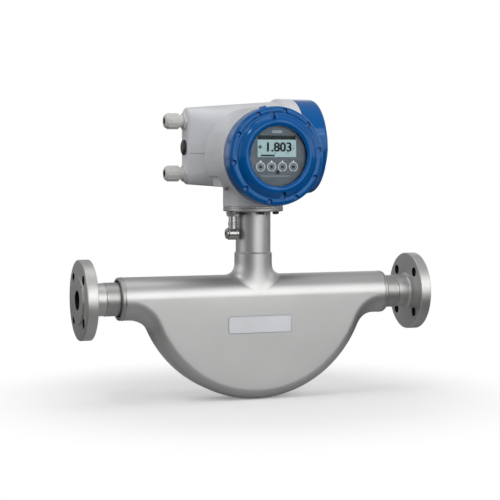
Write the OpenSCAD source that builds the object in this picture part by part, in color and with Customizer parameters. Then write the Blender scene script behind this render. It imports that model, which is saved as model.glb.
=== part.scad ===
// Coriolis mass flow meter with flanged process connections and a field-mounted converter.
// Two bent measuring tubes swing side by side inside a half-moon containment housing.
// Origin: centre of the inlet raised face. +X runs with the flow, -Y is the display side, +Z is up.

/* [Process flanges] */
// Distance between the two raised faces
face_to_face = 528; // [500:1:600]
// Outer diameter of a flange
flange_d = 115; // [112:1:130]
// Thickness of a flange, raised face included
flange_t = 18; // [16:1:22]
// Diameter of the raised face
raised_d = 68; // [60:1:68]
// Height of the raised face
raised_h = 2; // [1:0.5:3]
// Bolt circle diameter
bolt_circle_d = 85; // [83:1:90]
// Bolts in a flange
bolt_count = 4; // [4:4:8]
// Diameter of a bolt hole
bolt_hole_d = 14; // [11:0.5:14]
// Bore of the flanges
bore_d = 28.5; // [24:0.5:30]
// Outer diameter of the neck behind a flange
process_neck_d = 47; // [44:1:48]
// Length of a flange and its neck, up to the weld
flange_l = 39; // [36:1:44]

/* [Containment housing] */
// Outer diameter of the carrier tube
carrier_d = 62; // [60:1:66]
// Length of the carrier tube between its end rings
carrier_l = 399.4; // [392:0.2:402]
// Length of an end ring
end_ring_l = 6; // [5:0.5:7]
// Wall of the containment housing
housing_wall = 3; // [2:0.5:4]
// Radius of the half-moon's lower edge
moon_r = 173; // [165:1:174]
// Height of the half-moon's centre above the pipe axis
moon_rise = 22.5; // [20:0.5:26]
// Rounding of the half-moon's edge
moon_edge_r = 16; // [12:1:20]
// Hollow fillet between the half-moon and the carrier tube
moon_fillet_r = 38; // [30:1:40]
// Outer diameter of the drawn collar
collar_d = 55; // [54:0.5:58]
// Height of the collar's upper edge above the pipe axis
collar_z = 63; // [60:1:70]
// Reach of the collar's saddle fillet along the pipe
saddle_reach = 18; // [14:1:22]

/* [Measuring tubes] */
// Outer diameter of a measuring tube
tube_d = 14; // [12:0.5:15]
// Wall of a measuring tube
tube_wall = 1; // [0.6:0.1:1.5]
// Distance between the two tubes' axes
tube_pitch = 26; // [24:0.5:28]
// Depth of the tubes' lowest point below the pipe axis
tube_depth = 118; // [110:1:122]
// Slope of the tubes' straight legs
leg_angle = 50; // [45:1:52]
// Radius of the upper bends
upper_bend_r = 32; // [28:1:36]
// Radius of the lower bend
lower_bend_r = 90; // [80:1:95]
// Thickness of a node plate
node_plate_t = 3; // [2:0.5:4]
// Distance between the two node plates of a leg
node_plate_pitch = 14; // [10:1:16]
// Swing of the pick-offs either side of the lowest point
pickoff_angle = 38; // [32:1:42]
// Outer diameter of a coil
coil_d = 15; // [13:0.5:16]
// Length of a coil
coil_l = 9; // [7:0.5:10]
// Diameter of a magnet
magnet_d = 6; // [4:0.5:6]
// Distance from a tube's axis to its coil or magnet
coil_rise = 17; // [16:0.5:20]

/* [Sensor neck] */
// Outer diameter of the neck tube
neck_d = 51; // [49:0.5:53]
// Wall of the neck tube
neck_wall = 3; // [2:0.5:4]
// Diameter of the mounting plate
plate_d = 88; // [86:0.5:90]
// Thickness of the mounting plate
plate_t = 7.5; // [6:0.5:9]
// Height of the mounting plate's lower face
plate_z = 123.5; // [118:0.5:130]
// Circle that the plate's screws lie on
plate_screw_circle = 72; // [71:0.5:74]
// Head diameter of a plate screw
plate_screw_head_d = 8.5; // [7:0.5:9]
// Height of a plate screw's head
plate_screw_head_h = 4; // [3:0.5:5]
// Thickness of the feed-through disc
feedthrough_t = 8; // [6:1:10]
// Wires through the feed-through disc
feedthrough_pins = 9; // [6:1:12]

/* [Test port] */
// Distance of the port from the neck axis
port_r = 36.5; // [36:0.5:37.5]
// Direction of the port round the neck
port_angle = 196; // [190:1:200]
// Width of the union nut over its flats
port_hex_w = 16; // [14:0.5:17]
// Height of the union nut
port_hex_h = 10; // [8:0.5:12]
// Diameter of the port's stem
port_stem_d = 12.5; // [11:0.5:13.5]
// Length of the stem between the nut and the body
port_stem_l = 13; // [10:0.5:15]
// Diameter of the port's body
port_body_d = 18; // [16:0.5:19]
// Length of the port's body
port_body_l = 15; // [13:0.5:16]

/* [Converter housing] */
// Height of the display axis above the pipe axis
display_z = 203.5; // [201:0.5:208]
// Height of the terminal chamber's axis above the pipe axis
terminal_z = 218.5; // [216:0.5:220]
// Distance of the terminal chamber's axis behind the neck axis
terminal_y = 32; // [30:0.5:35]
// Outer diameter of the display chamber
display_chamber_d = 143; // [142:0.5:146]
// Depth of the full ring round the display chamber's mouth
display_ring_l = 17; // [16:0.5:20]
// Height of the flat underside behind that ring
underside_z = 159.5; // [157:0.5:162]
// Distance from the neck axis to the display chamber's mouth
display_mouth = 74; // [72:0.5:78]
// Depth of the display chamber
display_chamber_depth = 40; // [36:0.5:41]
// Outer diameter of the terminal chamber
terminal_chamber_d = 132; // [130:0.5:134]
// Distance from the neck axis to the terminal chamber's mouth
terminal_mouth = 68.5; // [66:0.5:72]
// Length of the thicker rim at the terminal chamber's mouth
terminal_rim_l = 27; // [22:1:30]
// Distance from the neck axis to the entry wall
entry_wall_x = 95; // [92:0.5:98]
// Width of the entry wall
entry_wall_w = 34; // [34:0.5:38]
// Height of the entry wall
entry_wall_h = 112; // [112:0.5:116]
// Length of the converter's foot along the pipe
foot_l = 118; // [110:1:124]
// Width of the converter's foot across the pipe
foot_w = 70; // [60:1:76]
// Height of the foot above the converter's flat underside
foot_h = 30; // [24:1:34]
// Corner radius of the converter's foot
foot_corner_r = 12; // [6:1:20]
// Distance of the foot's middle from the neck, towards the display
foot_shift = 5; // [0:1:10]
// Diameter of the wire way between the two chambers
wire_way_d = 14; // [10:1:16]
// Distance of that wire way to the left of the display's axis
wire_way_side = 20; // [14:1:24]
// Distance of that wire way below the display's axis
wire_way_drop = 30; // [24:1:34]
// Wall of the converter housing
casting_wall = 5; // [4:0.5:6]

/* [Covers] */
// Outer diameter of both covers
cover_d = 140; // [139:0.5:141]
// Length of the front cover's straight side
front_cover_l = 27; // [25:0.5:29]
// Length of the rear cover's straight side
rear_cover_l = 35; // [32:0.5:38]
// Height of the raised ring above the straight side
cover_crown = 8; // [6:0.5:9]
// Diameter of the thread that holds a cover
cover_thread_d = 124; // [122:0.5:125]
// Length of the cover's thread
cover_thread_l = 12; // [10:0.5:14]
// Wall of a cover
cover_wall = 6; // [5:0.5:7]
// Diameter of the window opening
window_d = 85; // [82:0.5:88]
// Thickness of the window glass
glass_t = 6; // [5:0.5:8]
// Spanner recesses in a cover
spanner_count = 10; // [8:1:12]
// Diameter of a spanner recess
spanner_d = 7.5; // [6:0.5:8]
// Depth of a spanner recess
spanner_depth = 4; // [2:0.5:5]
// Thickness of a cover's seal ring
seal_d = 2.4; // [2:0.1:2.8]

/* [Cable entries] */
// Distance between neighbouring cable entries
entry_pitch = 38; // [36:0.5:38.5]
// Height of the middle entry below the terminal chamber's axis
entry_drop = 2; // [0:0.5:3]
// Thread diameter of a cable entry
entry_thread_d = 20; // [18:0.5:20]
// Width of a gland over its flats
gland_w = 24; // [23:0.5:25]
// Length of the gland body's hexagon
gland_hex_l = 6.5; // [5:0.5:8]
// Gap between the gland body's hexagon and its nut
gland_gap = 3; // [2:0.5:4]
// Length of a gland's dome nut
gland_nut_l = 21.5; // [20:0.5:25]
// Length of the entry thread inside the wall
entry_thread_l = 8; // [7:0.5:9]
// Length of the thread that a gland's nut runs on
nut_thread_l = 12; // [10:0.5:13]
// Opening of a gland for its cable
gland_cable_d = 12; // [10:0.5:13]
// Head diameter of the blanking plug
plug_head_d = 22.5; // [22:0.5:24]
// Head height of the blanking plug
plug_head_h = 4; // [3:0.5:5]

/* [Electronics] */
// Width of the display panel
lcd_w = 58; // [52:1:60]
// Height of the display panel
lcd_h = 31; // [26:1:32]
// Distance between the optical keys
key_pitch = 16.3; // [15:0.1:17]
// Diameter of an optical key
key_d = 12.4; // [10:0.2:13]
// Distance between the circuit boards
board_pitch = 9; // [8:0.5:9.5]
// Width of the terminal block
terminal_block_w = 26; // [22:1:28]
// Height of the terminal block
terminal_block_h = 18; // [16:1:20]
// Depth of the terminal block's foot below the terminal chamber's axis
terminal_block_drop = 34; // [30:1:36]
// Terminals in the terminal block
terminal_count = 10; // [8:1:12]
// Distance between the terminals
terminal_pitch = 8; // [7:0.25:8.5]
// Width of a circuit board
board_w = 66; // [60:1:68]
// Thickness of a circuit board
board_t = 1.6; // [1:0.2:2.4]

/* [Hidden] */

$fn = 96;
// Overshoot of a cut past the face that it opens
cut = 0.5;
// Radial clearance of a thread or another running fit
running_gap = 0.05;
// Gap left round a welded or seated piece
seat_gap = 0.1;
// Facets of a hulled shape
hull_fn = 32;
// Sides of a bent tube's section
tube_sides = 12;

carrier_r = carrier_d / 2;
edge_flat = carrier_r - moon_edge_r;
tube_r = tube_d / 2;
manifold_in = (upper_bend_r + lower_bend_r) * sin(leg_angle) + leg_l() * cos(leg_angle);
carrier_end = carrier_l / 2;
ring_end = carrier_end + end_ring_l;
display_y = -display_mouth;
cover_r = cover_d / 2;
thread_r = cover_thread_d / 2;
glass_r = window_d / 2 + 6;
crown_in_r = window_d / 2 + 4;
crown_out_r = window_d / 2 + 16;
glass_top = front_cover_l + cover_crown - 2;
bezel_top = glass_top - glass_t - 2;
cage_r = thread_r - 8;
pillar_r = 4.5;
terminal_block_l = terminal_count * terminal_pitch + 6;
screw_well = 5;
gland_r = gland_w / 2;
gland_end_wall = 1.5;
gland_seal_l = gland_nut_l - nut_thread_l - 2 * gland_end_wall;

// Length of a measuring tube's straight leg
function leg_l() =
    (tube_depth - (upper_bend_r + lower_bend_r) * (1 - cos(leg_angle))) / sin(leg_angle);

// ---------- shared shapes ----------

// Skin over rings that all have the same number of points, closed by a flat face at each end
module loft(rings) {
    n = len(rings[0]);
    last = len(rings) - 1;
    points = [for (ring = rings) for (p = ring) p];
    sides = [for (i = [0 : last - 1]) for (j = [0 : n - 1])
        let (a = i * n + j, b = i * n + (j + 1) % n)
        each [[a, a + n, b], [b, a + n, b + n]]];
    first_cap = [for (j = [0 : n - 1]) j];
    last_cap = [for (j = [n - 1 : -1 : 0]) last * n + j];
    polyhedron(points = points, faces = concat(sides, [first_cap, last_cap]), convexity = 6);
}

// Turns a revolved profile so that its axis runs along +X
module along_x() {
    rotate([0, 90, 0]) children();
}

// Turns a revolved profile so that its axis runs towards the display side
module along_front() {
    rotate([90, 0, 0]) children();
}

// The middle of the pipe, on which the sensor is symmetrical
module at_centre() {
    translate([face_to_face / 2, 0, 0]) children();
}

// Hexagon bar of a given width over its flats
module hexagon(width, height) {
    cylinder(h = height, d = width / cos(30), $fn = 6);
}

// Flat ring with bevelled rims
module bevelled_disc(r, height, bevel) {
    rotate_extrude()
        polygon([[0, 0], [r - bevel, 0], [r, bevel], [r, height - bevel], [r - bevel, height], [0, height]]);
}

// ---------- process connections ----------

// Turned weld-neck flange, its raised face at z = 0 and its neck towards +z
module flange() {
    difference() {
        rotate_extrude() {
            rim = 1;
            root = 4;
            polygon([
                [bore_d / 2, 0], [raised_d / 2 - rim / 2, 0], [raised_d / 2, rim / 2],
                [raised_d / 2, raised_h], [flange_d / 2 - rim, raised_h],
                [flange_d / 2, raised_h + rim], [flange_d / 2, flange_t - rim],
                [flange_d / 2 - rim, flange_t], [process_neck_d / 2 + root, flange_t],
                [process_neck_d / 2 + root / 4, flange_t + root / 4],
                [process_neck_d / 2, flange_t + root], [process_neck_d / 2, flange_l - rim],
                [process_neck_d / 2 - rim, flange_l], [bore_d / 2, flange_l]
            ]);
        }
        for (i = [0 : bolt_count - 1])
            rotate([0, 0, (i + 0.5) * 360 / bolt_count])
                translate([bolt_circle_d / 2, 0, raised_h - cut])
                    cylinder(h = flange_t, d = bolt_hole_d);
    }
}

module inlet_flange() {
    color("silver") along_x() flange();
}

module outlet_flange() {
    color("silver") translate([face_to_face, 0, 0]) mirror([1, 0, 0]) along_x() flange();
}

// End ring, process neck and flow divider, turned from one bar.
// z = 0 is the weld to the flange, +z runs into the sensor.
module manifold() {
    neck_l = face_to_face / 2 - ring_end - flange_l;
    inner_l = face_to_face / 2 - flange_l - manifold_in;
    tube_l = face_to_face / 2 - flange_l - carrier_end;
    groove = 4.5;
    groove_r = carrier_r - 4;
    spigot_r = carrier_r - housing_wall - 0.6;
    divider_z = neck_l + end_ring_l;
    socket_l = 10;
    channel_r = tube_r - tube_wall;
    rim = 1;
    difference() {
        rotate_extrude()
            polygon([
                [0, 0], [process_neck_d / 2 - rim, 0], [process_neck_d / 2, rim],
                [process_neck_d / 2, neck_l + groove], [groove_r, neck_l + groove],
                [groove_r, neck_l], [carrier_r - rim, neck_l], [carrier_r, neck_l + rim],
                [carrier_r, tube_l], [spigot_r, tube_l], [spigot_r, tube_l + 5],
                [spigot_r - 2, tube_l + 7], [spigot_r - 2, inner_l - 2], [spigot_r - 4, inner_l],
                [0, inner_l]
            ]);
        translate([0, 0, -cut]) cylinder(h = divider_z + cut, d = bore_d);
        for (side = [-1, 1]) {
            hull() {
                translate([0, side * 2, divider_z - 0.1])
                    cylinder(h = 0.1, r = bore_d / 2 - 3, $fn = hull_fn);
                translate([0, side * tube_pitch / 2, divider_z + 14])
                    cylinder(h = 0.1, r = channel_r, $fn = hull_fn);
            }
            translate([0, side * tube_pitch / 2, divider_z + 12])
                cylinder(h = inner_l - divider_z, r = channel_r);
            translate([0, side * tube_pitch / 2, inner_l - socket_l])
                cylinder(h = socket_l + cut, r = tube_r + seat_gap);
        }
    }
}

module inlet_manifold() {
    color("silver") translate([flange_l, 0, 0]) along_x() manifold();
}

module outlet_manifold() {
    color("silver")
        translate([face_to_face - flange_l, 0, 0]) mirror([1, 0, 0]) along_x() manifold();
}

// ---------- containment housing ----------

// How far the half-moon's edge draws in at a distance y from its middle plane
function edge_drop(y, edge_r, flat) =
    abs(y) <= flat ? 0 : edge_r - sqrt(max(0, edge_r * edge_r - pow(abs(y) - flat, 2)));

// Underside of the housing at x and y: the half-moon's arc, its hollow fillet, then the tube
function underside(x, y, inset) =
    let (
        level = -sqrt(max(0, pow(carrier_r - inset, 2) - y * y)),
        edge_r = moon_edge_r - inset,
        drop = edge_drop(y, edge_r, edge_flat),
        arc_r = moon_r - inset - drop,
        fillet = moon_fillet_r + inset + drop,
        fillet_x = sqrt(pow(arc_r + fillet, 2) - pow(moon_rise - level + fillet, 2)),
        touch_x = fillet_x * arc_r / (arc_r + fillet),
        ax = abs(x)
    )
    ax <= touch_x ? moon_rise - sqrt(arc_r * arc_r - x * x)
    : ax < fillet_x ? level - fillet + sqrt(max(0, fillet * fillet - pow(fillet_x - ax, 2)))
    : level;

// Distances from the middle plane at which the underside is drawn
function underside_steps(inset) =
    let (
        r = moon_edge_r - inset,
        edge = [for (a = [90 : -15 : 15]) edge_flat + r * sin(a)]
    )
    concat(
        [for (y = edge) -y],
        [for (i = [-3 : 3]) edge_flat * i / 3],
        [for (i = [len(edge) - 1 : -1 : 0]) edge[i]]
    );

// Closed section of the housing at x
function housing_ring(x, inset) =
    let (r = carrier_r - inset)
    concat(
        [for (a = [12 : 12 : 168]) [x, r * cos(a), r * sin(a)]],
        [for (y = underside_steps(inset)) [x, y, underside(x, y, inset)]]
    );

// Places along the pipe at which the housing is drawn, close together at the half-moon's shoulders
function housing_stations(half_l) =
    let (
        shoulder = sqrt(pow(moon_r + moon_fillet_r, 2)
            - pow(moon_rise + moon_fillet_r + moon_edge_r, 2)),
        side = concat(
            [for (t = [0 : 10 : 50]) moon_r * sin(t)],
            [for (i = [0 : 12]) moon_r * 0.8 + (shoulder - moon_r * 0.8) * i / 12],
            [half_l]
        )
    )
    concat([for (i = [len(side) - 1 : -1 : 1]) -side[i]], side);

module housing_solid(inset, half_l) {
    loft([for (x = housing_stations(half_l)) housing_ring(x, inset)]);
}

// Saddle fillet from the collar down on to the carrier tube
module saddle(r, reach, top) {
    n = 48;
    side_reach = min(r + 3, carrier_r - 0.6) - r;
    levels = 6;
    sink = 2;
    start_r = r - 0.4;
    function on_tube(y, depth) = sqrt(carrier_r * carrier_r - y * y) - depth;
    function point(a, t) =
        let (
            c = cos(a), s = sin(a),
            base_x = (r + reach) * c, base_y = (r + side_reach) * s,
            p0 = [start_r * c, start_r * s, top], p1 = [start_r * c, start_r * s, on_tube(r * s, 0)],
            p2 = [base_x, base_y, on_tube(base_y, sink)]
        )
        (1 - t) * (1 - t) * p0 + 2 * t * (1 - t) * p1 + t * t * p2;
    foot = [for (i = [0 : n - 1]) let (a = 360 * i / n)
        [(r + reach) * 0.8 * cos(a), (r + side_reach) * 0.8 * sin(a), 0]];
    rings = [for (k = [0 : levels]) [for (i = [0 : n - 1]) point(360 * i / n, k / levels)]];
    loft([for (i = [0 : levels + 1]) i == 0 ? foot : rings[levels + 1 - i]]);
}

module containment_housing() {
    collar_wall = collar_d / 2 - neck_d / 2 + neck_wall;
    saddle_top = carrier_r + saddle_reach;
    color("gainsboro") at_centre() difference() {
        union() {
            housing_solid(0, carrier_end);
            saddle(collar_d / 2, saddle_reach, saddle_top);
            translate([0, 0, carrier_r - 10])
                cylinder(h = collar_z - 1 - carrier_r + 10, d = collar_d);
            translate([0, 0, collar_z - 1])
                cylinder(h = 1, d1 = collar_d, d2 = collar_d - 2);
        }
        housing_solid(housing_wall, carrier_end + cut);
        translate([0, 0, carrier_r - 10]) cylinder(h = collar_z, r = collar_d / 2 - collar_wall);
    }
}

// ---------- measuring tubes and what swings them ----------

// Places along half a bent tube, from its lowest point to its seat: x, z and slope
function half_tube_path() =
    let (bend_z = lower_bend_r - tube_depth, seat_l = 9, steps = 8)
    concat(
        [for (i = [0 : steps]) let (t = leg_angle * i / steps)
            [lower_bend_r * sin(t), bend_z - lower_bend_r * cos(t), t]],
        [for (i = [steps : -2 : 0]) let (t = leg_angle * i / steps)
            [manifold_in - upper_bend_r * sin(t), -upper_bend_r * (1 - cos(t)), t]],
        [[manifold_in + seat_l, 0, 0]]
    );

// One bent tube in the plane y = 0, symmetrical about x = 0, its ends drawn out by extra
module bent_tube(r, extra) {
    half = half_tube_path();
    last = len(half) - 1;
    right = [for (i = [0 : last]) i < last ? half[i] : half[i] + [extra, 0, 0]];
    left = [for (i = [last : -1 : 1]) [-right[i][0], right[i][1], -right[i][2]]];
    loft([for (p = concat(left, right)) [for (j = [0 : tube_sides - 1])
        let (a = -360 * j / tube_sides)
        [p[0] - r * cos(a) * sin(p[2]), r * sin(a), p[1] + r * cos(a) * cos(p[2])]]]);
}

module measuring_tube(side) {
    color("lightsteelblue") at_centre() translate([0, side * tube_pitch / 2, 0]) difference() {
        bent_tube(tube_r, 0);
        bent_tube(tube_r - tube_wall, cut);
    }
}

module front_measuring_tube() {
    measuring_tube(-1);
}

module rear_measuring_tube() {
    measuring_tube(1);
}

// Plates that tie the two tubes together and set the ends of their swinging length
module node_plates() {
    plate_w = tube_d + 8;
    color("silver") at_centre() for (side = [0, 1]) mirror([side, 0, 0]) for (i = [0, 1])
        translate([
            manifold_in - upper_bend_r * sin(leg_angle) - (10 + i * node_plate_pitch) * cos(leg_angle), 0,
            -upper_bend_r * (1 - cos(leg_angle)) - (10 + i * node_plate_pitch) * sin(leg_angle)
        ])
            rotate([0, 90 - leg_angle, 0]) translate([0, 0, -node_plate_t])
                linear_extrude(node_plate_t) difference() {
                    union() {
                        square([plate_w, tube_pitch], center = true);
                        for (y = [-1, 1]) translate([0, y * tube_pitch / 2]) circle(d = plate_w);
                    }
                    for (y = [-1, 1]) translate([0, y * tube_pitch / 2]) circle(tube_r + seat_gap);
                }
}

// Clamp round one tube with a stalk that reaches up to its coil or magnet, at the lowest point
module carrier_clamp(side) {
    width = 8;
    stalk_t = 3;
    rotate([0, 90, 0]) translate([0, side * tube_pitch / 2, -width / 2]) difference() {
        cylinder(h = width, r = tube_r + 2.5);
        translate([0, 0, -cut]) cylinder(h = width + 2 * cut, r = tube_r + 2 * seat_gap);
    }
    translate([0, side * (tube_pitch / 2 - 0.5), coil_rise / 2 + tube_r / 2 + 0.5])
        cube([width, stalk_t, coil_rise - tube_r + 1], center = true);
}

// Moves a piece from the lowest point of the tubes along the lower bend
module on_lower_bend(angle) {
    at_centre() translate([0, 0, lower_bend_r - tube_depth])
        rotate([0, -angle, 0]) translate([0, 0, -lower_bend_r]) children();
}

module coil_unit() {
    carrier_clamp(-1);
    back_y = -tube_pitch / 2 + 1;
    translate([0, back_y, coil_rise]) rotate([-90, 0, 0]) difference() {
        union() {
            cylinder(h = coil_l, d = coil_d - 2);
            cylinder(h = 1.2, d = coil_d);
            translate([0, 0, coil_l - 1.2]) cylinder(h = 1.2, d = coil_d);
        }
        translate([0, 0, 2]) cylinder(h = coil_l, d = magnet_d + 2);
    }
}

module magnet_unit() {
    carrier_clamp(1);
    face_y = tube_pitch / 2 - 1;
    reach = tube_pitch - 2 - coil_l + 4;
    translate([0, face_y, coil_rise]) rotate([90, 0, 0]) {
        cylinder(h = 3, d = magnet_d + 4);
        cylinder(h = reach, d = magnet_d);
    }
}

module drive_coil() {
    color("peru") on_lower_bend(0) coil_unit();
}

module drive_magnet() {
    color("dimgray") on_lower_bend(0) magnet_unit();
}

module pickoff_coils() {
    color("peru") for (side = [-1, 1]) on_lower_bend(side * pickoff_angle) coil_unit();
}

module pickoff_magnets() {
    color("dimgray") for (side = [-1, 1]) on_lower_bend(side * pickoff_angle) magnet_unit();
}

// Resistance thermometer in a saddle block on the front tube's inlet leg
module temperature_sensor() {
    block = [14, 5, 6];
    from_bend = 45;
    color("goldenrod") at_centre() translate([
        -(manifold_in - upper_bend_r * sin(leg_angle) - from_bend * cos(leg_angle)),
        -tube_pitch / 2,
        -upper_bend_r * (1 - cos(leg_angle)) - from_bend * sin(leg_angle)
    ])
        rotate([0, leg_angle, 0]) difference() {
            translate([0, -tube_r - 1, 0]) cube([block[0], block[1], block[2]], center = true);
            translate([-block[0], 0, 0]) rotate([0, 90, 0])
                cylinder(h = 2 * block[0], r = tube_r + seat_gap);
        }
}

// ---------- sensor neck ----------

module neck_tube() {
    color("gainsboro") at_centre() translate([0, 0, collar_z]) difference() {
        cylinder(h = plate_z - collar_z, d = neck_d);
        translate([0, 0, -cut]) cylinder(h = plate_z - collar_z + 2 * cut, d = neck_d - 2 * neck_wall);
    }
}

// Pressure-tight disc that carries the coils' wires out of the sensor
module feedthrough() {
    color("darkslategray") at_centre() translate([0, 0, plate_z - feedthrough_t - 10]) difference() {
        cylinder(h = feedthrough_t, d = neck_d - 2 * neck_wall - 2 * seat_gap);
        feedthrough_places(cut) cylinder(h = feedthrough_t + 2 * cut, d = 1.6 + 2 * seat_gap, $fn = 24);
    }
}

module feedthrough_places(below) {
    for (i = [0 : feedthrough_pins - 1])
        rotate([0, 0, i * 360 / feedthrough_pins]) translate([14, 0, -below]) children();
}

module feedthrough_wires() {
    stub = 5;
    color("gold") at_centre() translate([0, 0, plate_z - feedthrough_t - 10])
        feedthrough_places(stub) cylinder(h = feedthrough_t + 2 * stub, d = 1.6, $fn = 24);
}

// Places of the plate's screws: every eighth of a turn but the one that the test port takes
module plate_screw_places() {
    for (i = [-3 : 3]) rotate([0, 0, i * 45]) translate([plate_screw_circle / 2, 0, 0]) children();
}

module at_port() {
    rotate([0, 0, port_angle]) translate([port_r, 0, 0]) rotate([0, 0, -port_angle]) children();
}

module mounting_plate() {
    color("silver") at_centre() translate([0, 0, plate_z]) difference() {
        bevelled_disc(plate_d / 2, plate_t, 1);
        translate([0, 0, -cut]) cylinder(h = plate_t + 2 * cut, d = neck_d - 2 * neck_wall);
        plate_screw_places() translate([0, 0, -cut]) cylinder(h = plate_t + 2 * cut, d = 5.5);
        at_port() translate([0, 0, -cut]) cylinder(h = plate_t - 2, d = 6);
    }
}

// Socket-head screws from below, up into the converter's socket
module plate_screws() {
    shank_l = plate_t + 8;
    color("dimgray") at_centre() translate([0, 0, plate_z]) plate_screw_places() difference() {
        union() {
            translate([0, 0, -plate_screw_head_h])
                bevelled_disc(plate_screw_head_d / 2, plate_screw_head_h, 0.4);
            cylinder(h = shank_l, d = 5);
        }
        translate([0, 0, -plate_screw_head_h - cut]) hexagon(4, 2.2 + cut);
    }
}

module plate_seal() {
    color("black") at_centre() translate([0, 0, plate_z + plate_t + 0.7]) rotate_extrude()
        translate([neck_d / 2 + 2.5, 0]) circle(0.7, $fn = 24);
}

// Purge and test port: union nut, stem and cross body
module test_port() {
    body_z = -port_hex_h - port_stem_l;
    stem_into_body = port_body_d / 2;
    color("lightgray") at_centre() translate([0, 0, plate_z]) at_port() difference() {
        union() {
            translate([0, 0, -port_hex_h]) hexagon(port_hex_w, port_hex_h);
            translate([0, 0, body_z - stem_into_body])
                cylinder(h = port_hex_h + port_stem_l + stem_into_body - 1, d = port_stem_d);
            translate([0, 0, -port_hex_h]) cylinder(h = 2 * port_hex_h / 3, d = port_hex_w + 1.5);
            translate([-port_body_l / 2, 0, body_z - port_body_d / 2]) along_x()
                bevelled_disc(port_body_d / 2, port_body_l, 1);
        }
        translate([-port_body_l / 2 - cut, 0, body_z - port_body_d / 2]) along_x()
            cylinder(h = port_body_l - 3, d = 10);
        translate([0, 0, body_z - port_body_d / 2])
            cylinder(h = port_hex_h + port_stem_l + port_body_d / 2 + cut, d = 5);
    }
}

module test_port_plug() {
    body_z = -port_hex_h - port_stem_l - port_body_d / 2;
    head_l = 3;
    plug_l = 8;
    color("gray") at_centre() translate([0, 0, plate_z]) at_port()
        translate([-port_body_l / 2 - head_l - running_gap, 0, body_z]) along_x() difference() {
            union() {
                bevelled_disc(port_body_d / 2 - 1.5, head_l, 0.6);
                cylinder(h = head_l + plug_l, r = 5 - running_gap);
            }
            translate([0, 0, -cut]) hexagon(6, 4 + cut);
        }
}

// ---------- converter housing ----------

// Rounded plate that stands across the terminal chamber's axis
module entry_slab(x, width, height, t) {
    corner = min(width, height) / 2 - 2;
    translate([x, 0, 0]) rotate([0, 90, 0]) hull()
        for (side = [-1, 1])
            translate([side * (height / 2 - corner), 0, 0]) resize_y(width, corner)
                cylinder(h = t, r = corner, $fn = hull_fn);
}

// Widens a round end to the full width of the wall by two neighbouring circles
module resize_y(width, corner) {
    for (side = [-1, 1]) translate([0, side * (width / 2 - corner), 0]) children();
}

// Tapered casting from the flat entry wall to the round mouth
module terminal_body(inset) {
    rim_x = terminal_mouth - terminal_rim_l;
    bevel = 3;
    hull() {
        entry_slab(-entry_wall_x + inset, entry_wall_w - 2 * bevel - 2 * inset,
            entry_wall_h - 2 * bevel - 2 * inset, 1);
        entry_slab(-entry_wall_x + bevel + inset, entry_wall_w - 2 * inset, entry_wall_h - 2 * inset, 1);
        translate([rim_x - 1, 0, 0]) along_x()
            cylinder(h = 1, d = terminal_chamber_d - 2 * inset, $fn = 2 * hull_fn);
    }
}

// Middle of the converter, with the terminal chamber's axis at z = 0
module at_terminal() {
    at_centre() translate([0, terminal_y, terminal_z]) children();
}

// The display chamber's mouth, with its axis along +z
module at_display() {
    at_centre() translate([0, display_y, display_z]) along_front() children();
}

// The terminal chamber's mouth, with its axis along +z
module at_rear_mouth() {
    at_terminal() translate([terminal_mouth, 0, 0]) along_x() children();
}

// Where the covers sit, a running gap off the mouths
module at_front_cover() {
    at_display() translate([0, 0, running_gap]) children();
}

module at_rear_cover() {
    at_rear_mouth() translate([0, 0, running_gap]) children();
}

module entry_places(indices) {
    for (i = indices) at_terminal() translate([-entry_wall_x, 0, i * entry_pitch - entry_drop])
        rotate([0, -90, 0]) children();
}

// Keeps what lies above the flat underside, raised by a wall, in the display chamber's own frame
module above_underside(wall) {
    reach = display_chamber_d;
    intersection() {
        children();
        translate([-reach, underside_z + wall - display_z, -reach - display_mouth])
            cube([2 * reach, 2 * reach, 2 * reach + 2 * display_mouth]);
    }
}

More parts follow.
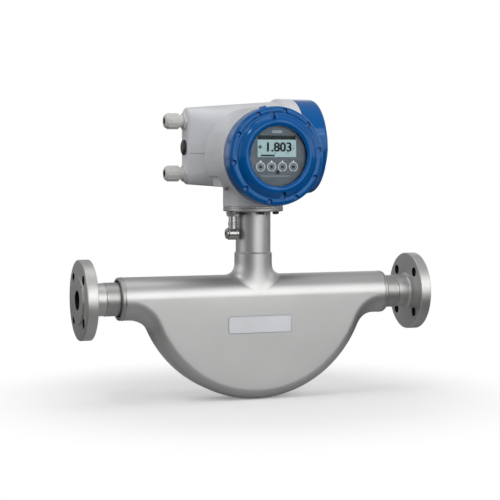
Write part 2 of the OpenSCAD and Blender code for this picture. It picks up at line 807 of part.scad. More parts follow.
module converter_housing() {
    socket_z = plate_z + plate_t;
    rim_r = cover_r + 0.5;
    partition = 5;
    color("lightgray") difference() {
        union() {
            at_terminal() terminal_body(0);
            at_rear_mouth() translate([0, 0, -terminal_rim_l]) cylinder(h = terminal_rim_l, r = rim_r);
            at_display() translate([0, 0, -display_ring_l])
                cylinder(h = display_ring_l, d = display_chamber_d);
            at_display() above_underside(0) translate([0, 0, -display_mouth - terminal_y])
                cylinder(h = display_mouth + terminal_y, d = display_chamber_d);
            at_centre() translate([0, 0, socket_z]) cylinder(h = underside_z + 20 - socket_z, d = plate_d);
            at_centre() translate([0, -foot_shift, underside_z]) linear_extrude(foot_h) {
                square([foot_l - 2 * foot_corner_r, foot_w], center = true);
                square([foot_l, foot_w - 2 * foot_corner_r], center = true);
                for (x = [-1, 1], y = [-1, 1])
                    translate([x * (foot_l / 2 - foot_corner_r), y * (foot_w / 2 - foot_corner_r)])
                        circle(foot_corner_r);
            }
        }
        // display chamber with the cover's thread
        at_display() translate([0, 0, -cover_thread_l - 1])
            cylinder(h = cover_thread_l + 1 + cut, r = thread_r);
        at_display() above_underside(casting_wall) translate([0, 0, -display_chamber_depth])
            cylinder(h = display_chamber_depth + cut, r = thread_r);
        // terminal chamber with the cover's thread
        at_terminal() terminal_body(casting_wall);
        at_rear_mouth() translate([0, 0, -terminal_rim_l - 2])
            cylinder(h = terminal_rim_l + 2 + cut, r = thread_r - 2);
        at_rear_mouth() translate([0, 0, -cover_thread_l - 3])
            cylinder(h = cover_thread_l + 3 + cut, r = thread_r);
        at_rear_mouth() cylinder(h = rear_cover_l, r = cover_r + 1);
        // wire ways: from the neck to the terminals, and through the partition
        at_centre() translate([0, 0, socket_z - cut])
            cylinder(h = underside_z + 12 - socket_z, d = neck_d - 2 * neck_wall);
        at_display() translate([-wire_way_side, -wire_way_drop, -display_chamber_depth - 3 * partition])
            cylinder(h = 4 * partition, d = wire_way_d);
        entry_places([-1, 0, 1]) translate([0, 0, -2 * casting_wall])
            cylinder(h = 2 * casting_wall + cut, d = entry_thread_d);
        at_centre() translate([0, 0, socket_z]) plate_screw_places()
            translate([0, 0, -cut]) cylinder(h = 9 + cut, r = 2.5 + running_gap);
        at_centre() translate([0, 0, socket_z - cut]) rotate_extrude()
            translate([neck_d / 2 + 1.5, 0]) square([2, 1.45 + cut]);
    }
}

// ---------- covers ----------

// Cast cover from its seat at z = 0: a straight side, a band of spanner recesses and a raised ring.
// The window's edge, or the closed middle, follows in from the crown.
module cover_casting(open, side) {
    top = side + cover_crown;
    r_edge = 2.5;
    cavity_r = thread_r - 5;
    cavity_top = side - cover_wall + 1;
    difference() {
        rotate_extrude() {
            outer = [
                [0, 0], [cover_r - 1, 0], [cover_r, 1], [cover_r, side - r_edge],
                [cover_r - r_edge * 0.3, side - r_edge * 0.3], [cover_r - r_edge, side],
                [crown_out_r + 1, side], [crown_out_r - 1.5, side + 1.2],
                [crown_out_r - 4, side + cover_crown * 0.55], [crown_out_r - 7, side + cover_crown * 0.88],
                [crown_in_r + 2, top]
            ];
            polygon(concat(outer, open
                ? [[crown_in_r, top - 0.3], [window_d / 2, glass_top], [0, glass_top]]
                : [[crown_in_r - 4, top - 0.6], [crown_in_r - 9, top - 2.4], [0, top - 2.4]]));
            polygon([[0, 0], [0, -cover_thread_l], [thread_r - running_gap - 1, -cover_thread_l],
                [thread_r - running_gap, 1 - cover_thread_l], [thread_r - running_gap, 0]]);
        }
        translate([0, 0, -cover_thread_l - cut])
            cylinder(h = cover_thread_l + cut + (open ? glass_top - glass_t - 4 : cavity_top - 4),
                r = cavity_r);
        if (open) {
            translate([0, 0, cut]) cylinder(h = glass_top + cut, d = window_d);
            translate([0, 0, 1]) cylinder(h = glass_top - 1 - 1.5, r = glass_r);
        } else
            translate([0, 0, 1]) cylinder(h = cavity_top - 1, r = cavity_r - 8);
        // groove for the seal ring
        rotate_extrude() translate([thread_r + 1, -cut]) square([seal_d + 0.3, seal_d - 0.3 + cut]);
        // spanner recesses and the two bar slots
        for (i = [0 : spanner_count - 1])
            rotate([0, 0, 8 + i * 360 / spanner_count])
                translate([cover_r - 5.5, 0, side - spanner_depth])
                    cylinder(h = spanner_depth + cut, d = spanner_d);
        for (i = [0, 1]) rotate([0, 0, 98 + i * 180])
            translate([crown_out_r - 6, -4, side - 1.5]) cube([10, 8, cover_crown + cut]);
    }
}

module cover_seal() {
    section_r = seal_d / 2 - 0.2;
    translate([0, 0, section_r]) rotate_extrude()
        translate([thread_r + 1 + 0.15 + seal_d / 2, 0]) circle(section_r, $fn = 24);
}

module front_cover() {
    color("royalblue") at_front_cover() cover_casting(true, front_cover_l);
}

module rear_cover() {
    color("royalblue") at_rear_cover() cover_casting(false, rear_cover_l);
}

module front_cover_seal() {
    color("black") at_front_cover() cover_seal();
}

module rear_cover_seal() {
    color("black") at_rear_cover() cover_seal();
}

module window_glass() {
    color("lightcyan") at_front_cover() translate([0, 0, glass_top - 1.5 - glass_t])
        cylinder(h = glass_t, r = glass_r - seat_gap);
}

// Threaded ring that holds the glass in the cover
module window_ring() {
    ring_h = 3;
    color("dimgray") at_front_cover() translate([0, 0, glass_top - 1.5 - glass_t - ring_h]) difference() {
        cylinder(h = ring_h, r = glass_r - seat_gap);
        translate([0, 0, -cut]) cylinder(h = ring_h + 2 * cut, d = window_d + 4);
        for (i = [0 : 3]) rotate([0, 0, 45 + i * 90]) translate([window_d / 2, -1.5, -cut])
            cube([6, 3, 1.2 + cut]);
    }
}

// ---------- display and electronics ----------

// Places of the keys on the display face, from the outer pair to the inner pair
module key_places() {
    for (i = [-1.5 : 1.5]) translate([i * key_pitch, -15, 0]) children();
}

module display_bezel() {
    bezel_r = window_d / 2 + 1;
    bezel_h = 3;
    lcd_y = 14;
    color("gray") at_display() translate([0, 0, bezel_top - bezel_h]) difference() {
        union() {
            bevelled_disc(bezel_r, bezel_h, 0.6);
            translate([0, 0, 3 - bezel_top]) cylinder(h = bezel_top - 2, r = bezel_r - 3);
        }
        translate([-lcd_w / 2, lcd_y - lcd_h / 2, bezel_h - 2]) cube([lcd_w, lcd_h, 2 + cut]);
        key_places() translate([0, 0, bezel_h - 1.5]) cylinder(h = 1.5 + cut, d = key_d);
    }
}

module display_panel() {
    lcd_y = 14;
    color("lightblue") at_display() translate([-lcd_w / 2 + seat_gap, lcd_y - lcd_h / 2 + seat_gap, bezel_top - 2])
        cube([lcd_w - 2 * seat_gap, lcd_h - 2 * seat_gap, 1.4]);
}

module optical_keys() {
    color("dimgray") at_display() translate([0, 0, bezel_top - 1.5]) key_places()
        cylinder(h = 1.2, d = key_d - 2 * seat_gap);
}

// Places of the cage's four pillars, which pass through the boards' corners
module pillar_places() {
    for (i = [0 : 3]) rotate([0, 0, 45 + i * 90]) translate([cage_r - 2 * pillar_r, 0, 0]) children();
}

// Moulded cage that carries the boards and the display in the display chamber
module electronics_carrier() {
    base_t = 3;
    length = display_chamber_depth - base_t - seat_gap;
    color("darkslategray") at_display() above_underside(casting_wall + 2)
        translate([0, 0, -display_chamber_depth]) difference() {
        union() {
            cylinder(h = base_t, r = cage_r);
            pillar_places() cylinder(h = length, r = pillar_r);
            translate([0, 0, length]) cylinder(h = base_t, r = cage_r);
        }
        translate([0, 0, -cut]) cylinder(h = base_t + 2 * cut, r = cage_r * 2 / 9);
        translate([-wire_way_side, -wire_way_drop, -cut])
            cylinder(h = base_t + 2 * cut, d = wire_way_d + 4);
    }
}

module main_boards() {
        color("seagreen") at_display() for (i = [0 : 2])
        translate([0, 0, -display_chamber_depth + (i + 1.2) * board_pitch]) difference() {
            translate([-board_w / 2, -board_w / 2, 0]) cube([board_w, board_w, board_t]);
            pillar_places() translate([0, 0, -cut])
                cylinder(h = board_t + 2 * cut, r = pillar_r + seat_gap);
        }
}

// Foot of the terminal block, in the wide half of the terminal chamber
module at_terminal_block() {
    at_terminal() translate([8, 0, -terminal_block_drop]) children();
}

module terminal_places() {
    for (i = [0 : terminal_count - 1])
        translate([0, (i + 0.5 - terminal_count / 2) * terminal_pitch, 0]) children();
}

// Terminal block on the floor of the terminal chamber
module terminal_block() {
    wire_hole_l = 8;
    color("darkgreen") at_terminal_block() difference() {
        translate([0, -terminal_block_l / 2, 0])
            cube([terminal_block_w, terminal_block_l, terminal_block_h]);
        terminal_places() {
            translate([terminal_block_w - wire_hole_l, 0, terminal_block_h / 2])
                rotate([0, 90, 0]) cylinder(h = wire_hole_l + cut, d = 4.5);
            translate([terminal_block_w / 2, 0, terminal_block_h - screw_well])
                cylinder(h = screw_well + cut, d = 4.6);
        }
    }
}

module terminal_screws() {
    head_h = 3.5;
    color("silver") at_terminal_block() terminal_places()
        translate([terminal_block_w / 2, 0, terminal_block_h - screw_well]) difference() {
            cylinder(h = head_h, d = 4.2);
            translate([-3, -0.4, head_h - 1]) cube([6, 0.8, 1 + cut]);
        }
}

// ---------- cable entries ----------

module gland_body() {
    nut_in = gland_gap + nut_thread_l;
    difference() {
        union() {
            translate([0, 0, -entry_thread_l])
                cylinder(h = entry_thread_l + cut, r = entry_thread_d / 2 - seat_gap);
            intersection() {
                hexagon(gland_w, gland_hex_l);
                bevelled_disc(gland_r + 1.2, gland_hex_l, 1.2);
            }
            cylinder(h = gland_hex_l + nut_in, d = entry_thread_d - 2);
        }
        translate([0, 0, -entry_thread_l - cut])
            cylinder(h = entry_thread_l + gland_hex_l + nut_in + 2 * cut, d = gland_cable_d + 1);
    }
}

module gland_bodies() {
    color("whitesmoke") entry_places([-1, 1]) gland_body();
}

module gland_seals() {
    color("dimgray") entry_places([-1, 1])
        translate([0, 0, gland_hex_l + gland_gap + nut_thread_l + cut]) difference() {
            cylinder(h = gland_seal_l, d = gland_cable_d + 2);
            translate([0, 0, -cut]) cylinder(h = gland_seal_l + 2 * cut, d = gland_cable_d - 4);
        }
}

// Ribbed dome nut, its threaded end at z = 0
module gland_nut() {
    thread_in_r = (entry_thread_d - 2) / 2 + running_gap;
    flat_l = gland_nut_l * 0.55;
    difference() {
        union() {
            intersection() {
                hexagon(gland_w, flat_l);
                bevelled_disc(gland_r + 1.2, flat_l, 1.2);
            }
            rotate_extrude()
                polygon([[0, 0], [gland_r - 0.4, 0], [gland_r - 0.2, flat_l],
                    [gland_r - 0.6, gland_nut_l - 5], [gland_r - 1.4, gland_nut_l - 2.6],
                    [gland_r - 2.6, gland_nut_l - 0.9], [gland_r - 4, gland_nut_l], [0, gland_nut_l]]);
        }
        translate([0, 0, -cut]) cylinder(h = nut_thread_l + gland_end_wall + cut, r = thread_in_r);
        translate([0, 0, -cut]) cylinder(h = gland_nut_l - gland_end_wall + cut,
            d = gland_cable_d + 2 + 4 * running_gap);
        translate([0, 0, -cut]) cylinder(h = gland_nut_l + 2 * cut, d = gland_cable_d - 1);
    }
}

module upper_gland_nut() {
    color("whitesmoke") entry_places([1]) translate([0, 0, gland_hex_l + gland_gap]) gland_nut();
}

module lower_gland_nut() {
    color("whitesmoke") entry_places([-1]) translate([0, 0, gland_hex_l + gland_gap]) gland_nut();
}

module blanking_plug() {
    color("black") entry_places([0]) translate([0, 0, running_gap]) difference() {
        union() {
            translate([0, 0, -7]) cylinder(h = 7.5, r = entry_thread_d / 2 - running_gap);
            rotate_extrude()
                polygon([[0, 0], [plug_head_d / 2, 0], [plug_head_d / 2, plug_head_h * 0.5],
                    [plug_head_d / 2 - 1.2, plug_head_h * 0.85], [plug_head_d / 2 - 3.5, plug_head_h],
                    [0, plug_head_h]]);
        }
        translate([-6, -0.9, plug_head_h - 1.5]) cube([12, 1.8, 2]);
    }
}

// Earth terminal under the converter's foot
module earth_screw() {
    color("silver") at_centre() translate([-plate_d / 2 - 6, -24, underside_z - 4]) {
        hexagon(7, 3);
        translate([0, 0, 2]) cylinder(h = 2, d = 9.5);
    }
}

containment_housing();
inlet_flange();
outlet_flange();
inlet_manifold();
outlet_manifold();
front_measuring_tube();
rear_measuring_tube();
node_plates();
drive_coil();
drive_magnet();
pickoff_coils();
pickoff_magnets();
temperature_sensor();
neck_tube();
feedthrough();
feedthrough_wires();
mounting_plate();
plate_screws();
plate_seal();
test_port();
test_port_plug();
converter_housing();
front_cover();
front_cover_seal();
window_glass();
window_ring();
display_bezel();
display_panel();
optical_keys();
electronics_carrier();
main_boards();
rear_cover();
rear_cover_seal();
terminal_block();
terminal_screws();
gland_bodies();
gland_seals();
upper_gland_nut();
lower_gland_nut();
blanking_plug();
earth_screw();
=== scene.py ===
# Coriolis mass flow meter: flanged sensor with a half-moon housing, neck and field converter.
# Built from the process flanges inwards, then up the neck to the converter and its covers.
import math

import bpy
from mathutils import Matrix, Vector


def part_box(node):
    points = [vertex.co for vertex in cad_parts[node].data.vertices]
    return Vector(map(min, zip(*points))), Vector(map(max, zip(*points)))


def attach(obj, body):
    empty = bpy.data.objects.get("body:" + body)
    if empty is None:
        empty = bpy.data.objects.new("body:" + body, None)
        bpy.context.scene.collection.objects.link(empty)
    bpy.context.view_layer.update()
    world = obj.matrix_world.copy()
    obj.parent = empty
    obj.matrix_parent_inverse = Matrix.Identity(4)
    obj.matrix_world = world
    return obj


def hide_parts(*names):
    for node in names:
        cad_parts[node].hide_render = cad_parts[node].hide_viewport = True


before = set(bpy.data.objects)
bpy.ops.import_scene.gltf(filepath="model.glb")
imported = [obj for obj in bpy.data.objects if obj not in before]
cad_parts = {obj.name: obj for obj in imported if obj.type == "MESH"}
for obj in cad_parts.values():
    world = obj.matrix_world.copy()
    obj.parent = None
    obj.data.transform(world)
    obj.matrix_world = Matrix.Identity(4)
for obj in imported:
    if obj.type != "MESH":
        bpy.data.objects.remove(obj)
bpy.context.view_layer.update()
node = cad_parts


# --- Studio: camera, backdrop and soft lights ---------------------------------------------------
# The meter stands on the lowest point of its housing on a white table. Big softboxes at the
# front and to the left light it, with smaller ones above, to the right and dim ones behind.
moon_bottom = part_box("containment_housing")[0].z
inlet_x, outlet_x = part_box("inlet_flange")[0].x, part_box("outlet_flange")[1].x
middle_x = (inlet_x + outlet_x) / 2

view_place, view_tilt, view_turn = (-0.4859, -2.095, 0.1954), 86.68, -19.578
table_size, table_gap = 60, 0.0004
white, mirror_share, room_light = (1, 1, 1, 1), 0.06, 0.37

bpy.ops.object.select_all(action="DESELECT")
bpy.ops.object.camera_add(
    location=view_place, rotation=(math.radians(view_tilt), 0, math.radians(view_turn)))
camera = bpy.context.object
camera.name = "camera"
camera.data.lens = 109.36
camera.data.sensor_width = 36
camera.data.clip_end = table_size
bpy.context.scene.camera = camera
bpy.context.scene.view_settings.view_transform = "Standard"


def wire(tree, from_node, from_socket, to_node, to_socket):
    """Joins two sockets of a node tree."""
    tree.links.new(from_node.outputs[from_socket], to_node.inputs[to_socket])


def backdrop_share(tree):
    """Number that is 1 for what the camera sees straight on or through glass, and the
    mirror share for what it sees in metal."""
    path = tree.nodes.new("ShaderNodeLightPath")
    mirrored = tree.nodes.new("ShaderNodeMath")
    mirrored.operation = "MULTIPLY"
    mirrored.inputs[1].default_value = mirror_share
    wire(tree, path, "Is Glossy Ray", mirrored, 0)
    seen = tree.nodes.new("ShaderNodeMath")
    seen.operation = "MAXIMUM"
    wire(tree, path, "Is Camera Ray", seen, 0)
    wire(tree, path, "Is Transmission Ray", seen, 1)
    share = tree.nodes.new("ShaderNodeMath")
    share.operation = "MAXIMUM"
    wire(tree, seen, 0, share, 0)
    wire(tree, mirrored, 0, share, 1)
    return share


world = bpy.data.worlds.new("studio")
bpy.context.scene.world = world
world.use_nodes = True
tree = world.node_tree
tree.nodes.clear()
room = tree.nodes.new("ShaderNodeBackground")
room.inputs["Color"].default_value = white
room.inputs["Strength"].default_value = room_light
wall = tree.nodes.new("ShaderNodeBackground")
wall.inputs["Color"].default_value = white
wall.inputs["Strength"].default_value = 1.0
blend = tree.nodes.new("ShaderNodeMixShader")
wire(tree, backdrop_share(tree), 0, blend, 0)
wire(tree, room, 0, blend, 1)
wire(tree, wall, 0, blend, 2)
wire(tree, blend, 0, tree.nodes.new("ShaderNodeOutputWorld"), "Surface")

# The table is matt near the meter, where it takes the shadow, and fades to pure white between
# fade_start and fade_end from the meter's middle. The light that it throws back is dimmer.
table_in_light, table_in_view, table_glow = 0.45, 0.94, 0.20
fade_start, fade_end = 0.20, 0.46


def grey(level):
    """Colour without a hue."""
    return (level, level, level, 1)


bpy.ops.mesh.primitive_plane_add(size=table_size, location=(middle_x, 0, moon_bottom - table_gap))
floor = bpy.context.object
floor.name = "floor"
table = bpy.data.materials.new("white_table")
table.use_nodes = True
tree = table.node_tree
tree.nodes.clear()
share = backdrop_share(tree)
shade = tree.nodes.new("ShaderNodeMix")
shade.data_type = "RGBA"
shade.inputs["A"].default_value = grey(table_in_light)
shade.inputs["B"].default_value = grey(table_in_view)
wire(tree, share, 0, shade, "Factor")
matt = tree.nodes.new("ShaderNodeBsdfDiffuse")
wire(tree, shade, "Result", matt, "Color")
glow = tree.nodes.new("ShaderNodeEmission")
glow.inputs["Color"].default_value = grey(table_glow)
wire(tree, share, 0, glow, "Strength")
near = tree.nodes.new("ShaderNodeAddShader")
wire(tree, matt, 0, near, 0)
wire(tree, glow, 0, near, 1)
far = tree.nodes.new("ShaderNodeEmission")
far.inputs["Color"].default_value = white
wire(tree, share, 0, far, "Strength")
spot = tree.nodes.new("ShaderNodeTexCoord")
reach = tree.nodes.new("ShaderNodeVectorMath")
reach.operation = "LENGTH"
wire(tree, spot, "Object", reach, 0)
fade = tree.nodes.new("ShaderNodeMapRange")
fade.interpolation_type = "SMOOTHSTEP"
fade.inputs["From Min"].default_value = fade_start
fade.inputs["From Max"].default_value = fade_end
wire(tree, reach, "Value", fade, "Value")
blend = tree.nodes.new("ShaderNodeMixShader")
wire(tree, fade, "Result", blend, 0)
wire(tree, near, 0, blend, 1)
wire(tree, far, 0, blend, 2)
wire(tree, blend, 0, tree.nodes.new("ShaderNodeOutputMaterial"), "Surface")
floor.data.materials.append(table)

lamp_distance, lamp_aim = 2.4, Vector((middle_x, 0, 0.08))


def softbox(name, bearing, height_angle, side, glow):
    """Square lamp that faces the meter. Its bearing is counted from the display side
    towards the outlet, and its glow is how bright it looks next to white."""
    turn, rise = math.radians(bearing), math.radians(height_angle)
    away = Vector((math.sin(turn) * math.cos(rise), -math.cos(turn) * math.cos(rise),
                   math.sin(rise)))
    bpy.ops.object.light_add(type="AREA", location=lamp_aim + lamp_distance * away)
    lamp = bpy.context.object
    lamp.name = name
    lamp.data.shape = "SQUARE"
    lamp.data.size = side
    lamp.data.energy = math.pi * side ** 2 * glow
    lamp.visible_camera = False
    lamp.rotation_euler = (-away).to_track_quat("-Z", "Y").to_euler()


softbox("front", 17, 9, 2.0, 1.25)
softbox("front_middle", 0, 12, 1.6, 0.75)
softbox("front_high", 30, 35, 0.6, 2.2)
softbox("right_front", 45, 12, 0.8, 1.7)
softbox("right", 80, 12, 0.8, 1.0)
softbox("back_right", 140, 15, 1.6, 0.4)
softbox("left", -95, 12, 1.6, 0.95)
softbox("back_left", -150, 12, 1.6, 0.22)
softbox("left_high", -60, 50, 0.4, 9.0)
softbox("top", 0, 88, 1.6, 0.9)


# --- Process flanges ----------------------------------------------------------------------------
# Weld-neck flanges of stainless steel, turned all over, with four drilled bolt holes.
# Each is welded to the sensor's neck; the raised face seals against the pipe's gasket.
flange_r, raised_r, bore_r = 0.0575, 0.034, 0.01425
flange_t, raised_h, neck_r, flange_l = 0.018, 0.002, 0.0235, 0.039
root_r, edge_r, weld_chamfer = 0.004, 0.0014, 0.0012
bolt_circle_r, bolt_hole_r = 0.0425, 0.007
bolt_places = [(bolt_circle_r * math.cos(turn), bolt_circle_r * math.sin(turn))
               for turn in [math.radians(45 + 90 * k) for k in range(4)]]
pipe_axis = (0, (0, 0, 0))


def alone(piece):
    """Selects one piece and makes it active."""
    bpy.ops.object.select_all(action="DESELECT")
    piece.select_set(True)
    bpy.context.view_layer.objects.active = piece


def placed(piece, place=(0, 0, 0), turn=(0, 0, 0)):
    """Turns a piece, moves it to its place and writes both into its mesh."""
    alone(piece)
    piece.rotation_euler = [math.radians(a) for a in turn]
    piece.location = place
    bpy.ops.object.transform_apply(location=True, rotation=True, scale=True)
    return piece


def turned(name, stations, place=(0, 0, 0), turn=(0, 0, 0), sides=128):
    """Lathe work: a circle drawn along its axis from station to station, each (height, radius).
    A profile that comes back to its first station is closed into a ring."""
    bpy.ops.object.select_all(action="DESELECT")
    height, radius = stations[0]
    bpy.ops.mesh.primitive_circle_add(vertices=sides, radius=radius, location=(0, 0, height))
    bpy.ops.object.transform_apply(location=True, rotation=True, scale=True)
    piece = bpy.context.object
    piece.name = name
    is_ring = stations[-1] == stations[0]
    bpy.ops.object.mode_set(mode="EDIT")
    bpy.ops.mesh.select_mode(type="EDGE")
    bpy.ops.mesh.select_all(action="SELECT")
    if not is_ring:
        bpy.ops.mesh.edge_face_add()
    for next_height, next_radius in stations[1:]:
        bpy.ops.mesh.extrude_region_move(
            TRANSFORM_OT_translate={"value": (0, 0, next_height - height)})
        scale = next_radius / radius
        bpy.ops.transform.resize(value=(scale, scale, 1), center_override=(0, 0, next_height))
        height, radius = next_height, next_radius
    bpy.ops.mesh.select_all(action="SELECT")
    if is_ring:
        bpy.ops.mesh.remove_doubles(threshold=0.000001)
    bpy.ops.mesh.normals_make_consistent(inside=False)
    bpy.ops.object.mode_set(mode="OBJECT")
    return placed(piece, place, turn)


def rod(radius, length, place, sides=48, turn=(0, 90, 0)):
    """Straight round or six-sided bar about its place, along the pipe unless turned."""
    bpy.ops.object.select_all(action="DESELECT")
    bpy.ops.mesh.primitive_cylinder_add(vertices=sides, radius=radius, depth=length, location=place,
                                        rotation=[math.radians(a) for a in turn])
    return bpy.context.object


def joined(name, pieces):
    """Makes one object of several."""
    bpy.ops.object.select_all(action="DESELECT")
    for piece in pieces:
        piece.select_set(True)
    bpy.context.view_layer.objects.active = pieces[0]
    bpy.ops.object.join()
    pieces[0].name = name
    return pieces[0]


def worked(piece, tool, operation="DIFFERENCE", solver="MANIFOLD"):
    """Takes a tool's shape out of a piece, or adds it, and removes the tool. The exact solver
    is for pieces with open ends or with tools that touch."""
    alone(piece)
    work = piece.modifiers.new("work", "BOOLEAN")
    work.operation = operation
    work.solver = solver
    work.object = tool
    bpy.ops.object.modifier_apply(modifier=work.name)
    bpy.data.objects.remove(tool, do_unlink=True)


def eased(piece, width, segments=2, angle=30):
    """Breaks the sharp edges of a piece and shades it smooth."""
    alone(piece)
    bevel = piece.modifiers.new("eased", "BEVEL")
    bevel.width = width
    bevel.segments = segments
    bevel.limit_method = "ANGLE"
    bevel.angle_limit = math.radians(angle)
    bpy.ops.object.modifier_apply(modifier=bevel.name)
    bpy.ops.object.shade_smooth_by_angle(angle=math.radians(32))
    flats = piece.modifiers.new("flats", "WEIGHTED_NORMAL")
    flats.keep_sharp = True
    bpy.ops.object.modifier_apply(modifier=flats.name)


def clouded(tree, place, shader, colour, spread, scale, detail, margin):
    """Lets a colour drift a little darker and lighter over a piece."""
    cloud = tree.nodes.new("ShaderNodeTexNoise")
    cloud.inputs["Scale"].default_value = scale
    cloud.inputs["Detail"].default_value = detail
    wire(tree, place, "Object", cloud, "Vector")
    tint = tree.nodes.new("ShaderNodeValToRGB")
    dark, light = tint.color_ramp.elements
    dark.position, light.position = margin, 1 - margin
    dark.color = [c * (1 - spread) for c in colour] + [1]
    light.color = [min(1, c * (1 + spread)) for c in colour] + [1]
    wire(tree, cloud, "Fac", tint, "Fac")
    wire(tree, tint, "Color", shader, "Base Color")


def textured(tree, marks, shader, roughness, play, strength, depth):
    """Lets fine marks vary the roughness of a surface and stand out from it."""
    rough = tree.nodes.new("ShaderNodeMapRange")
    rough.inputs["To Min"].default_value = roughness - play
    rough.inputs["To Max"].default_value = roughness + play
    wire(tree, marks, "Fac", rough, "Value")
    wire(tree, rough, "Result", shader, "Roughness")
    relief = tree.nodes.new("ShaderNodeBump")
    relief.inputs["Strength"].default_value = strength
    relief.inputs["Distance"].default_value = depth
    wire(tree, marks, "Fac", relief, "Height")
    wire(tree, relief, "Normal", shader, "Normal")


def steel(name, colour, roughness, grain, bump, turned_about=None, spread=0.06):
    """Metal. Without an axis its grain is blasted; with one, given as its number and a point
    on it, the surface shows the fine marks of the lathe, which run round that axis."""
    material = bpy.data.materials.new(name)
    material.use_nodes = True
    tree = material.node_tree
    shader = tree.nodes["Principled BSDF"]
    shader.inputs["Metallic"].default_value = 1.0
    place = tree.nodes.new("ShaderNodeTexCoord")
    marks = tree.nodes.new("ShaderNodeTexNoise")
    marks.inputs["Detail"].default_value = 3.0
    marks.inputs["Scale"].default_value = grain
    if turned_about is None:
        wire(tree, place, "Object", marks, "Vector")
    else:
        axis, centre = turned_about
        moved = tree.nodes.new("ShaderNodeVectorMath")
        moved.operation = "SUBTRACT"
        moved.inputs[1].default_value = centre
        wire(tree, place, "Object", moved, 0)
        flat = tree.nodes.new("ShaderNodeVectorMath")
        flat.operation = "MULTIPLY"
        flat.inputs[1].default_value = [0 if i == axis else 1 for i in range(3)]
        wire(tree, moved, "Vector", flat, 0)
        radius = tree.nodes.new("ShaderNodeVectorMath")
        radius.operation = "LENGTH"
        wire(tree, flat, "Vector", radius, 0)
        along = tree.nodes.new("ShaderNodeSeparateXYZ")
        wire(tree, moved, "Vector", along, "Vector")
        rings = tree.nodes.new("ShaderNodeCombineXYZ")
        wire(tree, along, "XYZ"[axis], rings, "X")
        wire(tree, radius, "Value", rings, "Y")
        wire(tree, rings, "Vector", marks, "Vector")
    clouded(tree, place, shader, colour, spread, scale=14, detail=2.0, margin=0.3)
    textured(tree, marks, shader, roughness, play=0.05, strength=0.6, depth=bump)
    return material


# Turned stainless like the end rings, but in a lighter colour than theirs: painted light that
# brightens the flange's face and rim.
lit_flange_steel = steel("lit_flange_steel", (0.63, 0.63, 0.62), 0.44, 2600, 0.00002, pipe_axis)
# Near-black steel for the walls of bores, bolt holes and the ring recess: painted shade for the
# dark inside of the holes.
hole_shade_steel = steel("hole_shade_steel", (0.05, 0.05, 0.05), 0.6, 1500, 0.00004)


def finish(piece, material, body):
    """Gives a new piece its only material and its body."""
    piece.data.materials.clear()
    piece.data.materials.append(material)
    for face in piece.data.polygons:
        face.material_index = 0
    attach(piece, body)


def paint_shade(piece, is_deep):
    """Lays the near-black steel on the faces for which is_deep(centre, normal) holds, as painted
    shade inside holes and recesses.
    """
    piece.data.materials.append(hole_shade_steel)
    for face in piece.data.polygons:
        if is_deep(face.center, face.normal):
            face.material_index = 1


def within(centre, y, z, radius):
    """Tells whether a point lies in a bore along the pipe."""
    return math.hypot(centre.y - y, centre.z - z) < radius + 0.0001


def process_flange(name, face_x, way):
    """Weld-neck flange whose raised face is at face_x and whose neck points along way."""
    rim = [(raised_h + edge_r * (1 - math.cos(a)), flange_r - edge_r * (1 - math.sin(a)))
           for a in [math.radians(15 * k) for k in range(7)]]
    far_rim = [(flange_t + raised_h - height, radius) for height, radius in rim[::-1]]
    root = [(flange_t + root_r * (1 - math.cos(a)), neck_r + root_r * (1 - math.sin(a)))
            for a in [math.radians(10 * k) for k in range(10)]]
    stations = ([(0, bore_r), (0, raised_r), (raised_h, raised_r)] + rim + far_rim + root
                + [(flange_l - weld_chamfer, neck_r), (flange_l, neck_r - weld_chamfer),
                   (flange_l, bore_r), (0, bore_r)])
    piece = turned(f"{name}_turned", stations, (face_x, 0, 0), (0, 90 * way, 0))
    drills = [rod(bolt_hole_r, 0.05, (face_x, y, z)) for y, z in bolt_places]
    worked(piece, joined("drills", drills), solver="EXACT")
    eased(piece, 0.0005)
    finish(piece, lit_flange_steel, "sensor")
    # The walls of the bore and of the bolt holes get the near-black steel: painted shade in the
    # holes.
    bores = [(0, 0, bore_r)] + [(y, z, bolt_hole_r) for y, z in bolt_places]
    paint_shade(piece, lambda centre, normal: abs(normal.x) < 0.3
           and any(within(centre, *bore) for bore in bores))
    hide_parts(name)


process_flange("inlet_flange", inlet_x, 1)
process_flange("outlet_flange", outlet_x, -1)


# --- End rings and process necks ----------------------------------------------------------------
# Bar steel turned to a thick end ring with a slimmer neck. The ring closes the carrier tube
# and the neck is butt-welded to the flange; inside, the bore forks into the measuring tubes.
carrier_r, carrier_half, ring_end = 0.031, 0.1997, 0.2057
manifold_neck_r, recess_r, recess_depth = 0.0241, 0.0266, 0.0045
ring_edge_r, small_edge = 0.0022, 0.0006
spigot_r, spigot_l, fork_r = carrier_r - 0.004, 0.012, 0.004
channel_r, channel_side = 0.006, 0.0072
# Turned stainless like the flanges, but in a darker colour: painted shade that darkens the necks
# and end rings.
turned_steel = steel("turned_steel", (0.47, 0.47, 0.465), 0.44, 2600, 0.00002, pipe_axis)


